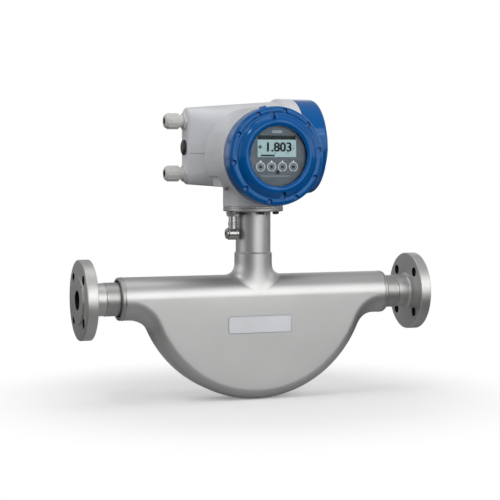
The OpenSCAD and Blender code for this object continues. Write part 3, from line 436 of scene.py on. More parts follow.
def end_ring(name, face_x, way):
    """End ring, neck and forked bore; the weld to the flange lies flange_l behind face_x."""
    neck_l = middle_x - inlet_x - ring_end - flange_l
    seam = neck_l + ring_end - carrier_half
    lip = [(neck_l + ring_edge_r * (1 - math.cos(a)), carrier_r - ring_edge_r * (1 - math.sin(a)))
           for a in [math.radians(18 * k) for k in range(6)]]
    stations = ([(0, bore_r), (0, manifold_neck_r - small_edge), (small_edge, manifold_neck_r),
                 (neck_l + recess_depth, manifold_neck_r), (neck_l + recess_depth, recess_r),
                 (neck_l + small_edge, recess_r), (neck_l, recess_r + small_edge)] + lip
                + [(seam, carrier_r), (seam, spigot_r), (seam + spigot_l, spigot_r),
                   (seam + spigot_l, fork_r), (seam + 0.001, fork_r), (seam, bore_r),
                   (0, bore_r)])
    piece = turned(f"{name}_turned", stations, (face_x + way * flange_l, 0, 0), (0, 90 * way, 0))
    channels = [rod(channel_r, 0.05, (face_x + way * (flange_l + seam + 0.02),
                                      side * channel_side, 0)) for side in (-1, 1)]
    worked(piece, joined("channels", channels), solver="EXACT")
    eased(piece, 0.0002)
    finish(piece, turned_steel, "sensor")
    # The bore and the recess between neck and ring get the near-black steel: painted shade in the
    # bore and in the recess's gap.
    recess_start, recess_end = flange_l + neck_l + 0.0008, flange_l + neck_l + recess_depth + 0.0002
    paint_shade(piece, lambda centre, normal: within(centre, 0, 0, bore_r)
           or recess_start < abs(centre.x - face_x) < recess_end
           and within(centre, 0, 0, recess_r))
    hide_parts(name)


end_ring("inlet_manifold", inlet_x, 1)
end_ring("outlet_manifold", outlet_x, -1)


# --- Weld beads ---------------------------------------------------------------------------------
# Thin beads of weld metal where ring meets tube, flange meets neck and collar meets neck.
# Laid by an orbital torch, so they are even, with a slight ripple.
weld_steel = steel("weld_steel", (0.52, 0.51, 0.49), 0.30, 700, 0.00004)
bead_root, sunk = 0.001, 0.0002


def weld_bead(name, radius, width, height, place, turn, step=0.0):
    """Low bead round a seam, its foot sunk in the metal so that no gap shows; step is how much
    larger the far side of the seam is."""
    arc = [(width * (k / 6 - 0.5),
            radius - sunk + step * k / 6 + height * math.sin(math.pi * k / 6))
           for k in range(7)]
    near_root, far_root = (arc[0][0], radius - bead_root), (arc[-1][0], radius - bead_root)
    bead = turned(name, [near_root] + arc + [far_root, near_root], place, turn, sides=180)
    for vertex in bead.data.vertices:
        out = vertex.co - Vector(place)
        angle = math.atan2(out.z, out.y) if turn[1] else math.atan2(out.y, out.x)
        ripple = 0.00007 * math.sin(angle * 90) + 0.00005 * math.sin(angle * 23 + 1)
        vertex.co += out.normalized() * ripple
    alone(bead)
    bpy.ops.object.shade_smooth_by_angle(angle=math.radians(50))
    finish(bead, weld_steel, "sensor")


for side, end in ((-1, "inlet"), (1, "outlet")):
    weld_bead(f"tube_weld_{end}", carrier_r, 0.0024, 0.00055,
              (middle_x + side * carrier_half, 0, 0), (0, 90, 0))
    weld_bead(f"flange_weld_{end}", neck_r, 0.0034, 0.0006,
              (middle_x + side * (middle_x - flange_l), 0, 0), (0, -90 * side, 0),
              manifold_neck_r - neck_r)


# --- Containment housing ------------------------------------------------------------------------
# Carrier tube and half-moon pressed from stainless sheet and welded into one shell, with a
# collar drawn up for the neck. The whole shell is bead blasted to a soft, even satin.
moon_r, moon_rise, moon_edge_r, moon_fillet_r = 0.173, 0.0225, 0.016, 0.038
edge_flat = carrier_r - moon_edge_r
shoulder_in, shoulder_out = 0.132, 0.190
collar_r, collar_top, collar_lip, collar_wall = 0.0275, 0.063, 0.0008, 0.006
saddle_reach, saddle_side = 0.018, 0.0030


def underside(x, y):
    """Height of the housing's underside: half-moon arc, hollow fillet, then the plain tube."""
    level = -math.sqrt(max(0.0, carrier_r ** 2 - y * y))
    over = abs(y) - edge_flat
    drop = 0 if over <= 0 else moon_edge_r - math.sqrt(max(0.0, moon_edge_r ** 2 - over ** 2))
    arc, fillet = moon_r - drop, moon_fillet_r + drop
    fillet_x = math.sqrt((arc + fillet) ** 2 - (moon_rise - level + fillet) ** 2)
    touch_x = fillet_x * arc / (arc + fillet)
    if abs(x) <= touch_x:
        return moon_rise - math.sqrt(arc ** 2 - x * x)
    if abs(x) < fillet_x:
        return level - fillet + math.sqrt(max(0.0, fillet ** 2 - (fillet_x - abs(x)) ** 2))
    return level


def housing_section(x):
    """Points round the housing at x: tube top, front wall, rounded underside, back wall."""
    wall_steps = 8
    top = [(carrier_r * math.cos(math.radians(3 * k)), carrier_r * math.sin(math.radians(3 * k)))
           for k in range(61)]
    foot = underside(x, carrier_r)
    front = [(-carrier_r, foot * k / wall_steps) for k in range(1, wall_steps)]
    edge = [edge_flat + moon_edge_r * math.sin(math.radians(90 - 5 * k)) for k in range(19)]
    across = [-y for y in edge] + [edge_flat * (k / 4 - 1) for k in range(1, 8)] + edge[::-1]
    under = [(y, underside(x, y)) for y in across]
    back = [(-y, z) for y, z in front[::-1]]
    return top + front + under + back + top[:1]


def rolled(name, columns):
    """A flat sheet of quads laid along columns of points, its long seam then closed."""
    bpy.ops.object.select_all(action="DESELECT")
    bpy.ops.mesh.primitive_grid_add(
        x_subdivisions=len(columns) - 1, y_subdivisions=len(columns[0]) - 1, size=1)
    sheet = bpy.context.object
    sheet.name = name
    xs = sorted({round(v.co.x, 5) for v in sheet.data.vertices})
    ys = sorted({round(v.co.y, 5) for v in sheet.data.vertices})
    for vertex in sheet.data.vertices:
        column = columns[xs.index(round(vertex.co.x, 5))]
        vertex.co = column[ys.index(round(vertex.co.y, 5))]
    bpy.ops.object.mode_set(mode="EDIT")
    bpy.ops.mesh.select_all(action="SELECT")
    bpy.ops.mesh.remove_doubles(threshold=0.000005)
    bpy.ops.mesh.normals_make_consistent(inside=False)
    bpy.ops.object.mode_set(mode="OBJECT")
    return sheet


half_columns = ([shoulder_in * k / 26 for k in range(26)]
                + [shoulder_in + (shoulder_out - shoulder_in) * k / 34 for k in range(35)]
                + [carrier_half])
places = [-x for x in half_columns[:0:-1]] + half_columns
shell = rolled("housing_shell", [
    [(middle_x + x, y, z) for y, z in housing_section(x)] for x in places])
alone(shell)
bpy.ops.object.mode_set(mode="EDIT")
bpy.ops.mesh.select_mode(type="EDGE")
bpy.ops.mesh.select_all(action="DESELECT")
bpy.ops.mesh.select_non_manifold()
bpy.ops.mesh.edge_face_add()
bpy.ops.object.mode_set(mode="OBJECT")


def saddle_column(turn):
    """Fillet at one turn round the collar, from the collar's wall down on to the tube."""
    c, s = math.cos(turn), math.sin(turn)
    base_y = (collar_r + saddle_side) * s
    high = Vector((collar_r * c, collar_r * s, carrier_r + saddle_reach))
    knee = Vector((collar_r * c, collar_r * s,
                   math.sqrt(carrier_r ** 2 - (collar_r * s) ** 2) + sunk))
    foot = Vector(((collar_r + saddle_reach) * c, base_y,
                   math.sqrt(carrier_r ** 2 - base_y ** 2) - sunk))
    centre = Vector((middle_x, 0, 0))
    column = [centre + (1 - t) ** 2 * high + 2 * t * (1 - t) * knee + t * t * foot
              for t in [k / 14 for k in range(15)]]
    rim = [(collar_r - collar_wall, collar_top), (collar_r - collar_lip, collar_top),
           (collar_r, collar_top - collar_lip)]
    return [centre + Vector((radius * c, radius * s, z)) for radius, z in rim] + column


collar = rolled("collar", [saddle_column(2 * math.pi * k / 120) for k in range(121)])
housing = joined("containment_shell", [shell, collar])
alone(housing)
bpy.ops.object.shade_smooth_by_angle(angle=math.radians(34))
blasted_steel = steel("blasted_steel", (0.60, 0.60, 0.595), 0.42, 2300, 0.00003, spread=0.025)
finish(housing, blasted_steel, "sensor")
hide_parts("containment_housing")
weld_bead("collar_weld", 0.0262, 0.0016, 0.0005, (middle_x, 0, collar_top + 0.0004), (0, 0, 0))


# --- Name plate, left bare ----------------------------------------------------------------------
# Thin rectangular plate with round corners, glued to the half-moon: grey aluminium sheet with
# a slightly smaller white lacquered face on it, which leaves a grey border. It carries no words.
label_back, label_w, label_h, label_z = -carrier_r, 0.098, 0.026, -0.040
border_w, sheet_t, face_t = 0.0012, 0.0006, 0.0004


def round_edges(piece, axis, corner):
    """Rounds the four edges of a straight block that run along one axis."""
    alone(piece)
    bpy.ops.object.mode_set(mode="EDIT")
    bpy.ops.mesh.select_mode(type="EDGE")
    bpy.ops.mesh.select_all(action="DESELECT")
    bpy.ops.object.mode_set(mode="OBJECT")
    points = piece.data.vertices
    for edge in piece.data.edges:
        first, second = (points[i].co for i in edge.vertices)
        edge.select = abs(first[axis] - second[axis]) > 0.00001
    bpy.ops.object.mode_set(mode="EDIT")
    bpy.ops.mesh.bevel(offset=corner, segments=8)
    bpy.ops.object.mode_set(mode="OBJECT")


def block(name, low, high, corner=0.0, axis=2):
    """Straight block between two corners, its four edges along an axis rounded."""
    bpy.ops.object.select_all(action="DESELECT")
    bpy.ops.mesh.primitive_cube_add(size=1)
    piece = bpy.context.object
    piece.name = name
    piece.scale = [b - a for a, b in zip(low, high)]
    placed(piece, [(a + b) / 2 for a, b in zip(low, high)])
    if corner:
        round_edges(piece, axis, corner)
    return piece


def lacquer(name, colour, roughness, coat=0.0, relief=0.0, relief_scale=400, gloss=0.5,
            gloss_colour=(1, 1, 1)):
    """Painted or moulded surface: even colour with a faint cloud and a fine texture."""
    material = bpy.data.materials.new(name)
    material.use_nodes = True
    tree = material.node_tree
    shader = tree.nodes["Principled BSDF"]
    shader.inputs["Specular IOR Level"].default_value = gloss
    shader.inputs["Specular Tint"].default_value = list(gloss_colour) + [1]
    shader.inputs["Coat Weight"].default_value = coat
    shader.inputs["Coat Roughness"].default_value = 0.06
    place = tree.nodes.new("ShaderNodeTexCoord")
    fine = tree.nodes.new("ShaderNodeTexNoise")
    fine.inputs["Scale"].default_value = relief_scale
    fine.inputs["Detail"].default_value = 3.0
    wire(tree, place, "Object", fine, "Vector")
    clouded(tree, place, shader, colour, spread=0.05, scale=22, detail=4.0, margin=0.25)
    textured(tree, fine, shader, roughness, play=0.04, strength=0.5, depth=relief)
    return material


def label_layer(name, inset, corner, back, thickness, material):
    """One layer of the plate, a rectangle with round corners, its front towards -Y."""
    half_w, half_h = label_w / 2 - inset, label_h / 2 - inset
    piece = block(name, (middle_x - half_w, back - thickness, label_z - half_h),
                  (middle_x + half_w, back, label_z + half_h), corner, axis=1)
    eased(piece, thickness * 0.3, 1)
    finish(piece, material, "sensor")


label_layer("label_border", 0, 0.004, label_back + sunk, sheet_t,
            lacquer("label_grey", (0.40, 0.43, 0.47), 0.4, relief=0.00001))
label_layer("label_face", border_w, 0.003, label_back - 0.0003, face_t,
            lacquer("label_white", (0.88, 0.90, 0.93), 0.35, coat=0.3, relief=0.00001))


# --- Neck, mounting plate and its screws --------------------------------------------------------
# The neck is drawn tube, blasted with the housing. The plate is turned and carries the
# converter on seven socket-head screws put in from below, blackened against rust.
neck_outer_r, neck_inner_r, neck_top = 0.0255, 0.0225, 0.1235
plate_r, plate_t, plate_edge, groove_from, groove_to = 0.044, 0.0075, 0.0006, 0.0032, 0.0024
screw_circle_r, screw_r, screw_l = 0.036, 0.0025, 0.012
screw_head_r, screw_head_l, screw_key_r, screw_key_depth = 0.00425, 0.004, 0.0023, 0.0022

neck_l = neck_top - collar_top
neck = turned("neck_drawn", [
    (0, neck_inner_r), (0, neck_outer_r), (neck_l, neck_outer_r), (neck_l, neck_inner_r),
    (0, neck_inner_r)], (middle_x, 0, collar_top))
eased(neck, 0.0002)
finish(neck, blasted_steel, "sensor")
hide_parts("neck_tube")

# The plate's steel is a darker colour than the flanges: painted shade for the dark reflection at
# its edge.
shaded_plate_steel = steel("shaded_plate_steel", (0.50, 0.50, 0.505), 0.42, 2600, 0.00002,
                   (2, (middle_x, 0, 0)))
mount = turned("plate_turned", [
    (0, neck_inner_r), (0, plate_r - 2 * plate_edge), (2 * plate_edge, plate_r),
    (plate_t - groove_from, plate_r), (plate_t - groove_from, plate_r - plate_edge),
    (plate_t - groove_to, plate_r - plate_edge), (plate_t - groove_to, plate_r),
    (plate_t - plate_edge, plate_r), (plate_t, plate_r - plate_edge), (plate_t, neck_inner_r),
    (0, neck_inner_r)], (middle_x, 0, neck_top))
eased(mount, 0.0003)
finish(mount, shaded_plate_steel, "sensor")
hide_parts("mounting_plate")

black_steel = steel("black_steel", (0.045, 0.045, 0.05), 0.40, 900, 0.00002, spread=0.15)
screws = []
for k in range(-3, 4):
    turn = math.radians(45 * k)
    place = (middle_x + screw_circle_r * math.cos(turn), screw_circle_r * math.sin(turn),
             neck_top - screw_head_l)
    screw = turned(f"screw_{k + 3}", [
        (0, 0.0036), (0.0004, screw_head_r), (screw_head_l - 0.0002, screw_head_r),
        (screw_head_l, screw_head_r - 0.00015), (screw_l, screw_r), (screw_l, 0.001)],
        place, sides=40)
    worked(screw, rod(screw_key_r, 2 * screw_key_depth, place, 6, (0, 0, 0)), solver="EXACT")
    screws.append(screw)
screws = joined("plate_screws_black", screws)
eased(screws, 0.0002, 1)
finish(screws, black_steel, "sensor")
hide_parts("plate_screws")


# --- Test port ----------------------------------------------------------------------------------
# A union nut under the plate, a slim stem and a cross body with a socket-head plug, all of
# stainless bar. The housing can be purged or checked for pressure through it.
port_turn, port_circle_r = math.radians(196), 0.0365
port_x = middle_x + port_circle_r * math.cos(port_turn)
port_y = port_circle_r * math.sin(port_turn)
cross_z, cross_l = neck_top - 0.032, 0.015
union_flats, union_l, key_r = 0.016, 0.0056, 0.0034
port_steel = steel("port_steel", (0.52, 0.52, 0.51), 0.28, 2200, 0.00003,
                   (2, (port_x, port_y, 0)))


def across_corners(flats):
    """Radius to the corners of a hexagon, from its width across flats."""
    return flats / 2 / math.cos(math.radians(30))


union = rod(across_corners(union_flats), union_l, (port_x, port_y, neck_top - 0.0042), 6, (0, 0, 0))
dome = turned("union_dome", [(0, 0.0065), (0.001, 0.0084), (0.0022, 0.0091), (0.0062, 0.0091),
                             (0.0072, 0.0085), (0.0074, 0.005)],
              (port_x, port_y, neck_top - 0.0080), sides=64)
worked(union, dome, "INTERSECT", "EXACT")
stem = turned("port_stem", [
    (0, 0.0058), (0.0085, 0.0058), (0.0087, 0.0054), (0.0093, 0.0054), (0.0095, 0.0062),
    (0.0150, 0.0062), (0.0158, 0.0068), (0.0180, 0.0068), (0.0188, 0.0060), (0.0340, 0.0060)],
    (port_x, port_y, neck_top - 0.0345), sides=64)
washer = turned("port_washer", [(0, 0.006), (0, 0.0092), (0.0008, 0.0096), (0.0022, 0.0096),
                                (0.0024, 0.006)], (port_x, port_y, neck_top - 0.0026), sides=64)
cross = turned("port_body", [
    (0, 0.0052), (0, 0.0081), (0.0009, 0.009), (0.0112, 0.009), (0.0115, 0.0087),
    (0.0118, 0.0087), (0.0121, 0.009), (0.0141, 0.009), (cross_l, 0.0081), (cross_l, 0.001)],
    (port_x - cross_l / 2, port_y, cross_z), (0, 90, 0), sides=80)
test_port = joined("test_port_turned", [union, stem, washer, cross])
eased(test_port, 0.0003)
finish(test_port, port_steel, "sensor")
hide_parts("test_port")

plug_face = (port_x - 0.0105, port_y, cross_z)
plug = turned("test_port_plug_turned", [
    (0.0000, 0.0059), (0.0006, 0.0074), (0.0026, 0.0074), (0.0028, 0.0070), (0.0030, 0.0050),
    (0.0105, 0.0049)], plug_face, (0, 90, 0), sides=64)
worked(plug, rod(key_r, 0.008, plug_face, 6), solver="EXACT")
eased(plug, 0.0002, 1)
finish(plug, port_steel, "test_port_plug")
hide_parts("test_port_plug")


# --- Converter housing --------------------------------------------------------------------------
# One aluminium sand casting: display chamber to the front, terminal chamber running from the
# cable entry wall to the rear mouth, and a foot with a round socket. Sprayed satin silver-grey.
display_z, terminal_y, terminal_z = 0.2035, 0.032, 0.2185
display_mouth_y, rear_mouth_x, entry_x = -0.074, middle_x + 0.0685, middle_x - 0.095
chamber_r, terminal_r, rim_r, rim_l, thread_r = 0.0715, 0.066, 0.0705, 0.027, 0.062
entry_w, entry_h, entry_corner, entry_bevel = 0.034, 0.112, 0.015, 0.003
entry_end, taper_end = entry_x + entry_bevel, rear_mouth_x - rim_l
underside_z, socket_z, socket_l = 0.1595, neck_top + plate_t, 0.0104
foot_top, foot_half, foot_corner, foot_front, foot_back = 0.1745, 0.0605, 0.030, -0.050, 0.030
display_ring_l, rear_ring_l, ring_wall, cast_wall = 0.017, 0.019, 0.0045, 0.005
ring_back_y = display_mouth_y + display_ring_l
under_skin = 0.0002


def terminal_section(x, inset):
    """Rounded section of the terminal chamber's casting, from the entry wall to the rear rim."""
    share = max(0.0, (x - entry_end) / (taper_end - entry_end))
    shrink = inset + max(0.0, entry_end - x)
    radius = entry_corner * (1 - share) + terminal_r * share - shrink
    half_y, half_z = ((entry_w / 2 - entry_corner) * (1 - share),
                      (entry_h / 2 - entry_corner) * (1 - share))
    points = []
    for quarter, (side_y, side_z) in enumerate([(1, 1), (-1, 1), (-1, -1), (1, -1)]):
        for step in range(13):
            turn = math.radians(90 * quarter + 7.5 * step)
            points.append((x, terminal_y + side_y * half_y + radius * math.cos(turn),
                           terminal_z + side_z * half_z + radius * math.sin(turn)))
    return points + points[:1]


def closed_ends(piece):
    """Puts a face over each open end."""
    alone(piece)
    bpy.ops.object.mode_set(mode="EDIT")
    bpy.ops.mesh.select_mode(type="EDGE")
    bpy.ops.mesh.select_all(action="DESELECT")
    bpy.ops.mesh.select_non_manifold()
    bpy.ops.mesh.edge_face_add()
    bpy.ops.mesh.select_all(action="SELECT")
    bpy.ops.mesh.normals_make_consistent(inside=False)
    bpy.ops.object.mode_set(mode="OBJECT")
    return piece


body_xs = [entry_x] + [entry_end + (taper_end - entry_end) * k / 10 for k in range(11)]
terminal_chamber = closed_ends(rolled("casting", [terminal_section(x, 0) for x in body_xs]))
display_chamber = closed_ends(turned(
    "chamber", [(0, chamber_r - under_skin), (0.100, chamber_r - under_skin)],
    (middle_x, display_mouth_y + 0.006, display_z), (-90, 0, 0)))
worked(display_chamber, block("below", (0, ring_back_y, 0), (0.6, 0.2, underside_z)))
for side in (-1, 1):
    near_x, far_x = sorted((middle_x + side * 0.045, middle_x + side * 0.1))
    worked(display_chamber, block("beside", (near_x, -0.030, 0.1), (far_x, 0.1, foot_top)))
rear_rim = closed_ends(turned(
    "rim", [(0, 0.064), (0.0045, rim_r - under_skin), (rim_l - 0.003, rim_r - under_skin)],
    (taper_end, terminal_y, terminal_z), (0, 90, 0)))
socket = closed_ends(turned("socket", [(0.0005, plate_r), (0.045, plate_r)],
                            (middle_x, 0, socket_z)))
foot = block("foot", (middle_x - foot_half, foot_front, underside_z),
             (middle_x + foot_half, foot_back, foot_top), foot_corner)
casting = joined("casting", [terminal_chamber, display_chamber, rear_rim, socket, foot])
alone(casting)
skin = casting.modifiers.new("skin", "REMESH")
skin.mode = "VOXEL"
skin.voxel_size = 0.00125
bpy.ops.object.modifier_apply(modifier=skin.name)
cast = casting.modifiers.new("cast", "SMOOTH")
cast.factor = 0.5
cast.iterations = 4
bpy.ops.object.modifier_apply(modifier=cast.name)

# The casting is hollow: the terminal chamber, the display well, the rear mouth and the wire
# way are taken out of it, with the rear mouth and the well bored to the covers' threads.
worked(casting, closed_ends(rolled("hollow", [
    terminal_section(x, cast_wall) for x in [entry_x + cast_wall] + body_xs[2:]])))
well = closed_ends(turned("well", [(0, thread_r), (0.042, thread_r)],
                          (middle_x, display_mouth_y - 0.002, display_z), (-90, 0, 0)))
worked(well, block("below", (0, ring_back_y - ring_wall, 0), (0.6, 0.2, underside_z + cast_wall)))
worked(casting, well)
worked(casting, closed_ends(turned("mouth", [(0, thread_r), (rim_l + 0.01, thread_r)],
                                   (taper_end, terminal_y, terminal_z), (0, 90, 0))))
worked(casting, closed_ends(turned("wire_way", [(-0.001, neck_inner_r), (0.036, neck_inner_r)],
                                   (middle_x, 0, socket_z))))


def machined_ring(name, bore, radius, length, far_edge, place, turn):
    """Turned end of the casting, from its face back; the far edge's chamfer is (long, deep)."""
    edge, (far_l, far_depth) = 0.0008, far_edge
    ring = turned(name, [(0, bore), (0, radius - edge), (edge, radius), (length - far_l, radius),
                         (length, radius - far_depth), (length, bore), (0, bore)],
                  place, turn, sides=180)
    eased(ring, 0.0003)
    return ring


rings = [
    machined_ring("display_ring", thread_r, chamber_r, display_ring_l, (0.0006, 0.0008),
                  (middle_x, display_mouth_y, display_z), (-90, 0, 0)),
    machined_ring("rear_ring", thread_r, rim_r, rear_ring_l, (0.0006, 0.0006),
                  (rear_mouth_x, terminal_y, terminal_z), (0, -90, 0)),
    machined_ring("socket_ring", neck_inner_r, plate_r, socket_l, (0.0004, 0.0004),
                  (middle_x, 0, socket_z), (0, 0, 0))]

# A hooked groove runs back from the entry wall on either side, and a fine ridge is left where
# the mould's halves met on either side of the display chamber.
slope = math.degrees(math.atan((terminal_r - entry_w / 2) / (taper_end - entry_end)))
groove_z, groove_w, groove_l, groove_depth = 0.2076, 0.0006, 0.0215, 0.0006
hook_w, hook_l = 0.0007, 0.0042
ridge_zs, ridge_half, ridge_out = (0.2350, 0.1950), 0.0004, 0.0003
for side in (-1, 1):
    groove = block("groove", (-0.001, -groove_depth, groove_z - groove_w),
                   (groove_l, 0.002, groove_z))
    worked(groove, block("groove_end", (groove_l - hook_w, -groove_depth, groove_z - hook_l),
                         (groove_l, 0.002, groove_z)), "UNION")
    placed(groove, (entry_end, terminal_y + side * entry_w / 2, 0), (0, 0, side * slope))
    worked(casting, groove)
ridges = []
for z in ridge_zs:
    reach = math.sqrt((chamber_r - under_skin) ** 2 - (z - display_z) ** 2)
    for side in (-1, 1):
        near_x, far_x = sorted((middle_x + side * (reach - 0.003),
                                middle_x + side * (reach + ridge_out)))
        ridge = block("ridge", (near_x, -0.056, z - ridge_half), (far_x, -0.012, z + ridge_half))
        eased(ridge, 0.00025, 1)
        ridges.append(ridge)

silver_paint = lacquer("silver_paint", (0.79, 0.80, 0.83), 0.38, coat=0.35, relief=0.00004,
                       relief_scale=900)
casting = joined("converter_casting", [casting] + rings + ridges)
alone(casting)
bpy.ops.object.shade_smooth_by_angle(angle=math.radians(38))
finish(casting, silver_paint, "sensor")
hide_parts("converter_housing")


# --- Covers -------------------------------------------------------------------------------------
# Two cast aluminium screw covers in glossy blue, each with ten blind recesses for a pin spanner,
# two slots for a bar and a small lock lug. The front one is open in the middle for its window.
cover_r, front_side, rear_side, crown = 0.070, 0.027, 0.035, 0.008
window_r, glass_top, glass_seat, pane_t, running_gap = 0.0425, 0.033, 0.0058, 0.0016, 0.00005
thread_l, thread_pitch, thread_depth, cover_bore = 0.012, 0.0015, 0.0010, 0.057
spanner_count, spanner_first = 10, 8
spanner_r, spanner_circle, spanner_depth = 0.00375, 0.0645, 0.004
slot_angles, slot_from, slot_to, slot_half, slot_depth = (98, 278), 0.0505, 0.0625, 0.0042, 0.0022
lug_angle, lug_half, lug_out, lug_top, lug_bottom = 106, 0.0040, 0.0022, 0.0035, 0.0115


def cover(name, side, is_open, place, turn):
    """Screw cover along its axis, which the turn sets: its rim and crown stand out from the
    seat at place, and its thread runs inwards from there."""
    top = side + crown
    outer = [(0, 0.0635), (0, cover_r - 0.0012), (0.0012, cover_r), (side - 0.0052, cover_r),
             (side - 0.0036, cover_r - 0.0003), (side - 0.0020, cover_r - 0.0011),
             (side - 0.0008, cover_r - 0.0024), (side - 0.0001, cover_r - 0.0042),
             (side + 0.0001, cover_r - 0.0060), (side - 0.0001, cover_r - 0.0078),
             (side - 0.0005, cover_r - 0.0092), (side - 0.0006, cover_r - 0.0104),
             (side - 0.0001, cover_r - 0.0116), (side + 0.0012, cover_r - 0.0128),
             (side + 0.0030, cover_r - 0.0142), (side + 0.0048, cover_r - 0.0160),
             (side + 0.0063, cover_r - 0.0180), (side + 0.0073, cover_r - 0.0200),
             (side + 0.0079, cover_r - 0.0219)]
    root = thread_r - 0.0002 - thread_depth
    thread = [(0.004, cover_bore), (-thread_l, cover_bore), (-thread_l, root - 0.0001)]
    for pitch in range(7):
        thread += [(thread_pitch * pitch + 0.0008 - thread_l, root),
                   (thread_pitch * pitch + 0.0016 - thread_l, root + thread_depth)]
    thread += [(-0.0008, root), (0, root + thread_depth)]
    if is_open:
        inner = [(top - 0.0001, cover_r - 0.0232), (top - 0.0006, cover_r - 0.0246),
                 (top - 0.0014, window_r + 0.0010), (glass_top, window_r),
                 (glass_top - pane_t, window_r), (glass_top - pane_t, window_r + glass_seat),
                 (glass_top - 0.0120, window_r + glass_seat), (glass_top - 0.0120, cover_bore)]
        piece = turned(f"{name}_cast", outer + inner + thread + outer[:1], sides=240)
    else:
        middle = [(top - 0.0002, cover_r - 0.0240), (top - 0.0008, cover_r - 0.0262),
                  (top - 0.0016, cover_r - 0.0284), (top - 0.0022, cover_r - 0.0310),
                  (top - 0.0024, cover_r - 0.0340), (top - 0.0024, 0.001)]
        back = [(top - 0.0084, 0.001), (top - 0.0110, 0.049)]
        piece = closed_ends(turned(f"{name}_cast", back + thread + outer + middle, sides=240))
    for k in range(spanner_count):
        angle = math.radians(spanner_first + 360 / spanner_count * k)
        worked(piece, closed_ends(turned(
            "pin", [(0, 0.0020), (0.0008, spanner_r - 0.0002), (0.0034, spanner_r),
                    (0.0052, spanner_r + 0.0007)],
            (spanner_circle * math.cos(angle), spanner_circle * math.sin(angle),
             side - spanner_depth), sides=32)))
    for angle in slot_angles:
        worked(piece, placed(block(
            "slot", (slot_from, -slot_half, side - slot_depth), (slot_to, slot_half, side + 0.02),
            0.0040), turn=(0, 0, angle)))
    worked(piece, placed(block(
        "lug", (cover_r - 0.004, -lug_half, side - lug_bottom),
        (cover_r + lug_out, lug_half, side - lug_top)), turn=(0, 0, lug_angle)), "UNION")
    eased(piece, 0.0004, 2, 40)
    placed(piece, place, turn)
    bpy.ops.object.shade_smooth_by_angle(angle=math.radians(36))
    finish(piece, blue_paint, name)
    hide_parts(name)


blue_paint = lacquer("blue_paint", (0.0, 0.112, 0.40), 0.16, coat=0.4, relief=0.00003,
                     relief_scale=260, gloss=0.3, gloss_colour=(0.2, 0.6, 1.0))
cover("front_cover", front_side, True, (middle_x, display_mouth_y - running_gap, display_z),
      (90, 0, 0))
cover("rear_cover", rear_side, False, (rear_mouth_x + running_gap, terminal_y, terminal_z),
      (0, 90, 0))


# --- Window and seals ---------------------------------------------------------------------------
# Clear toughened pane held in the front cover by a black threaded ring; each cover closes on a
# black rubber ring in its groove.
def recoat(name, material):
    """Gives a node that keeps its shape from the solid model a finished material."""
    for place in node[name].material_slots:
        place.material = material


window_glass = bpy.data.materials.new("window_glass")
window_glass.use_nodes = True
shader = window_glass.node_tree.nodes["Principled BSDF"]
shader.inputs["Base Color"].default_value = (0.96, 0.985, 0.98, 1)
shader.inputs["Transmission Weight"].default_value = 1.0
shader.inputs["Roughness"].default_value = 0.02
shader.inputs["IOR"].default_value = 1.12
recoat("window_glass", window_glass)
recoat("window_ring", black_steel)
black_rubber = lacquer("black_rubber", (0.018, 0.018, 0.019), 0.62, relief=0.00002)
for name in ("front_cover_seal", "rear_cover_seal", "plate_seal", "gland_seals"):
    recoat(name, black_rubber)


# --- Display ------------------------------------------------------------------------------------
# Grey moulded bezel with a pale grey-green liquid crystal panel and four touch keys that work
# through the glass. The print is plain: a reading, a bar, rings round the keys, small lamps.
face_y = display_mouth_y - 0.025
print_t, digit_half_t, panel_lift, key_lift = 0.00015, 0.00008, 0.00052, 0.0002
key_us, key_v = [0.0163 * k for k in (-1.5, -0.5, 0.5, 1.5)], -0.015
mark_v, lamp_v = -0.0072, -0.0215
digit_share, bold_shifts = 0.72, (0, 0.0004, 0.0008)
recoat("display_bezel", lacquer("bezel_grey", (0.085, 0.100, 0.122), 0.45, relief=0.000006,
                                relief_scale=700, gloss=0.15))
recoat("display_panel", lacquer("crystal", (0.33, 0.45, 0.475), 0.4, relief=0.000003, gloss=0.1))
recoat("optical_keys", lacquer("key_window", (0.15, 0.165, 0.185), 0.4, gloss=0.15))


def print_disc(u, v, outer, inner=0.0, lift=0.0):
    """Ring or dot of print; u runs right and v up the display from its middle."""
    place, turn = (middle_x + u, face_y + lift, display_z + v), (90, 0, 0)
    if inner:
        return turned("ring", [(0, inner), (0, outer), (print_t, outer), (print_t, inner),
                               (0, inner)], place, turn, 48)
    return closed_ends(turned("dot", [(0, outer), (print_t, outer)], place, turn, 48))


def print_bar(u0, v0, u1, v1, lift=0.0):
    """Straight bar of print between two corners."""
    y = face_y + lift
    return block("bar", (middle_x + u0, y - print_t, display_z + v0),
                 (middle_x + u1, y, display_z + v1))


def print_text(words, u, v, height, heavier=0.0, width=1.0):
    """Digits on the panel as a thin mesh, their lower left corner at u, v. A digit is
    digit_share of the letter size high."""
    bpy.ops.object.select_all(action="DESELECT")
    bpy.ops.object.text_add()
    line = bpy.context.object
    line.data.body = words
    line.data.size = height / digit_share
    line.data.offset = heavier
    line.data.extrude = digit_half_t
    bpy.ops.object.convert(target="MESH")
    line = bpy.context.object
    line.scale = (width, 1, 1)
    return placed(line, (middle_x + u, face_y + panel_lift, display_z + v), (90, 0, 0))


def printed(name, pieces, material):
    """Joins flat pieces of print of one colour."""
    finish(joined(name, pieces), material, "sensor")


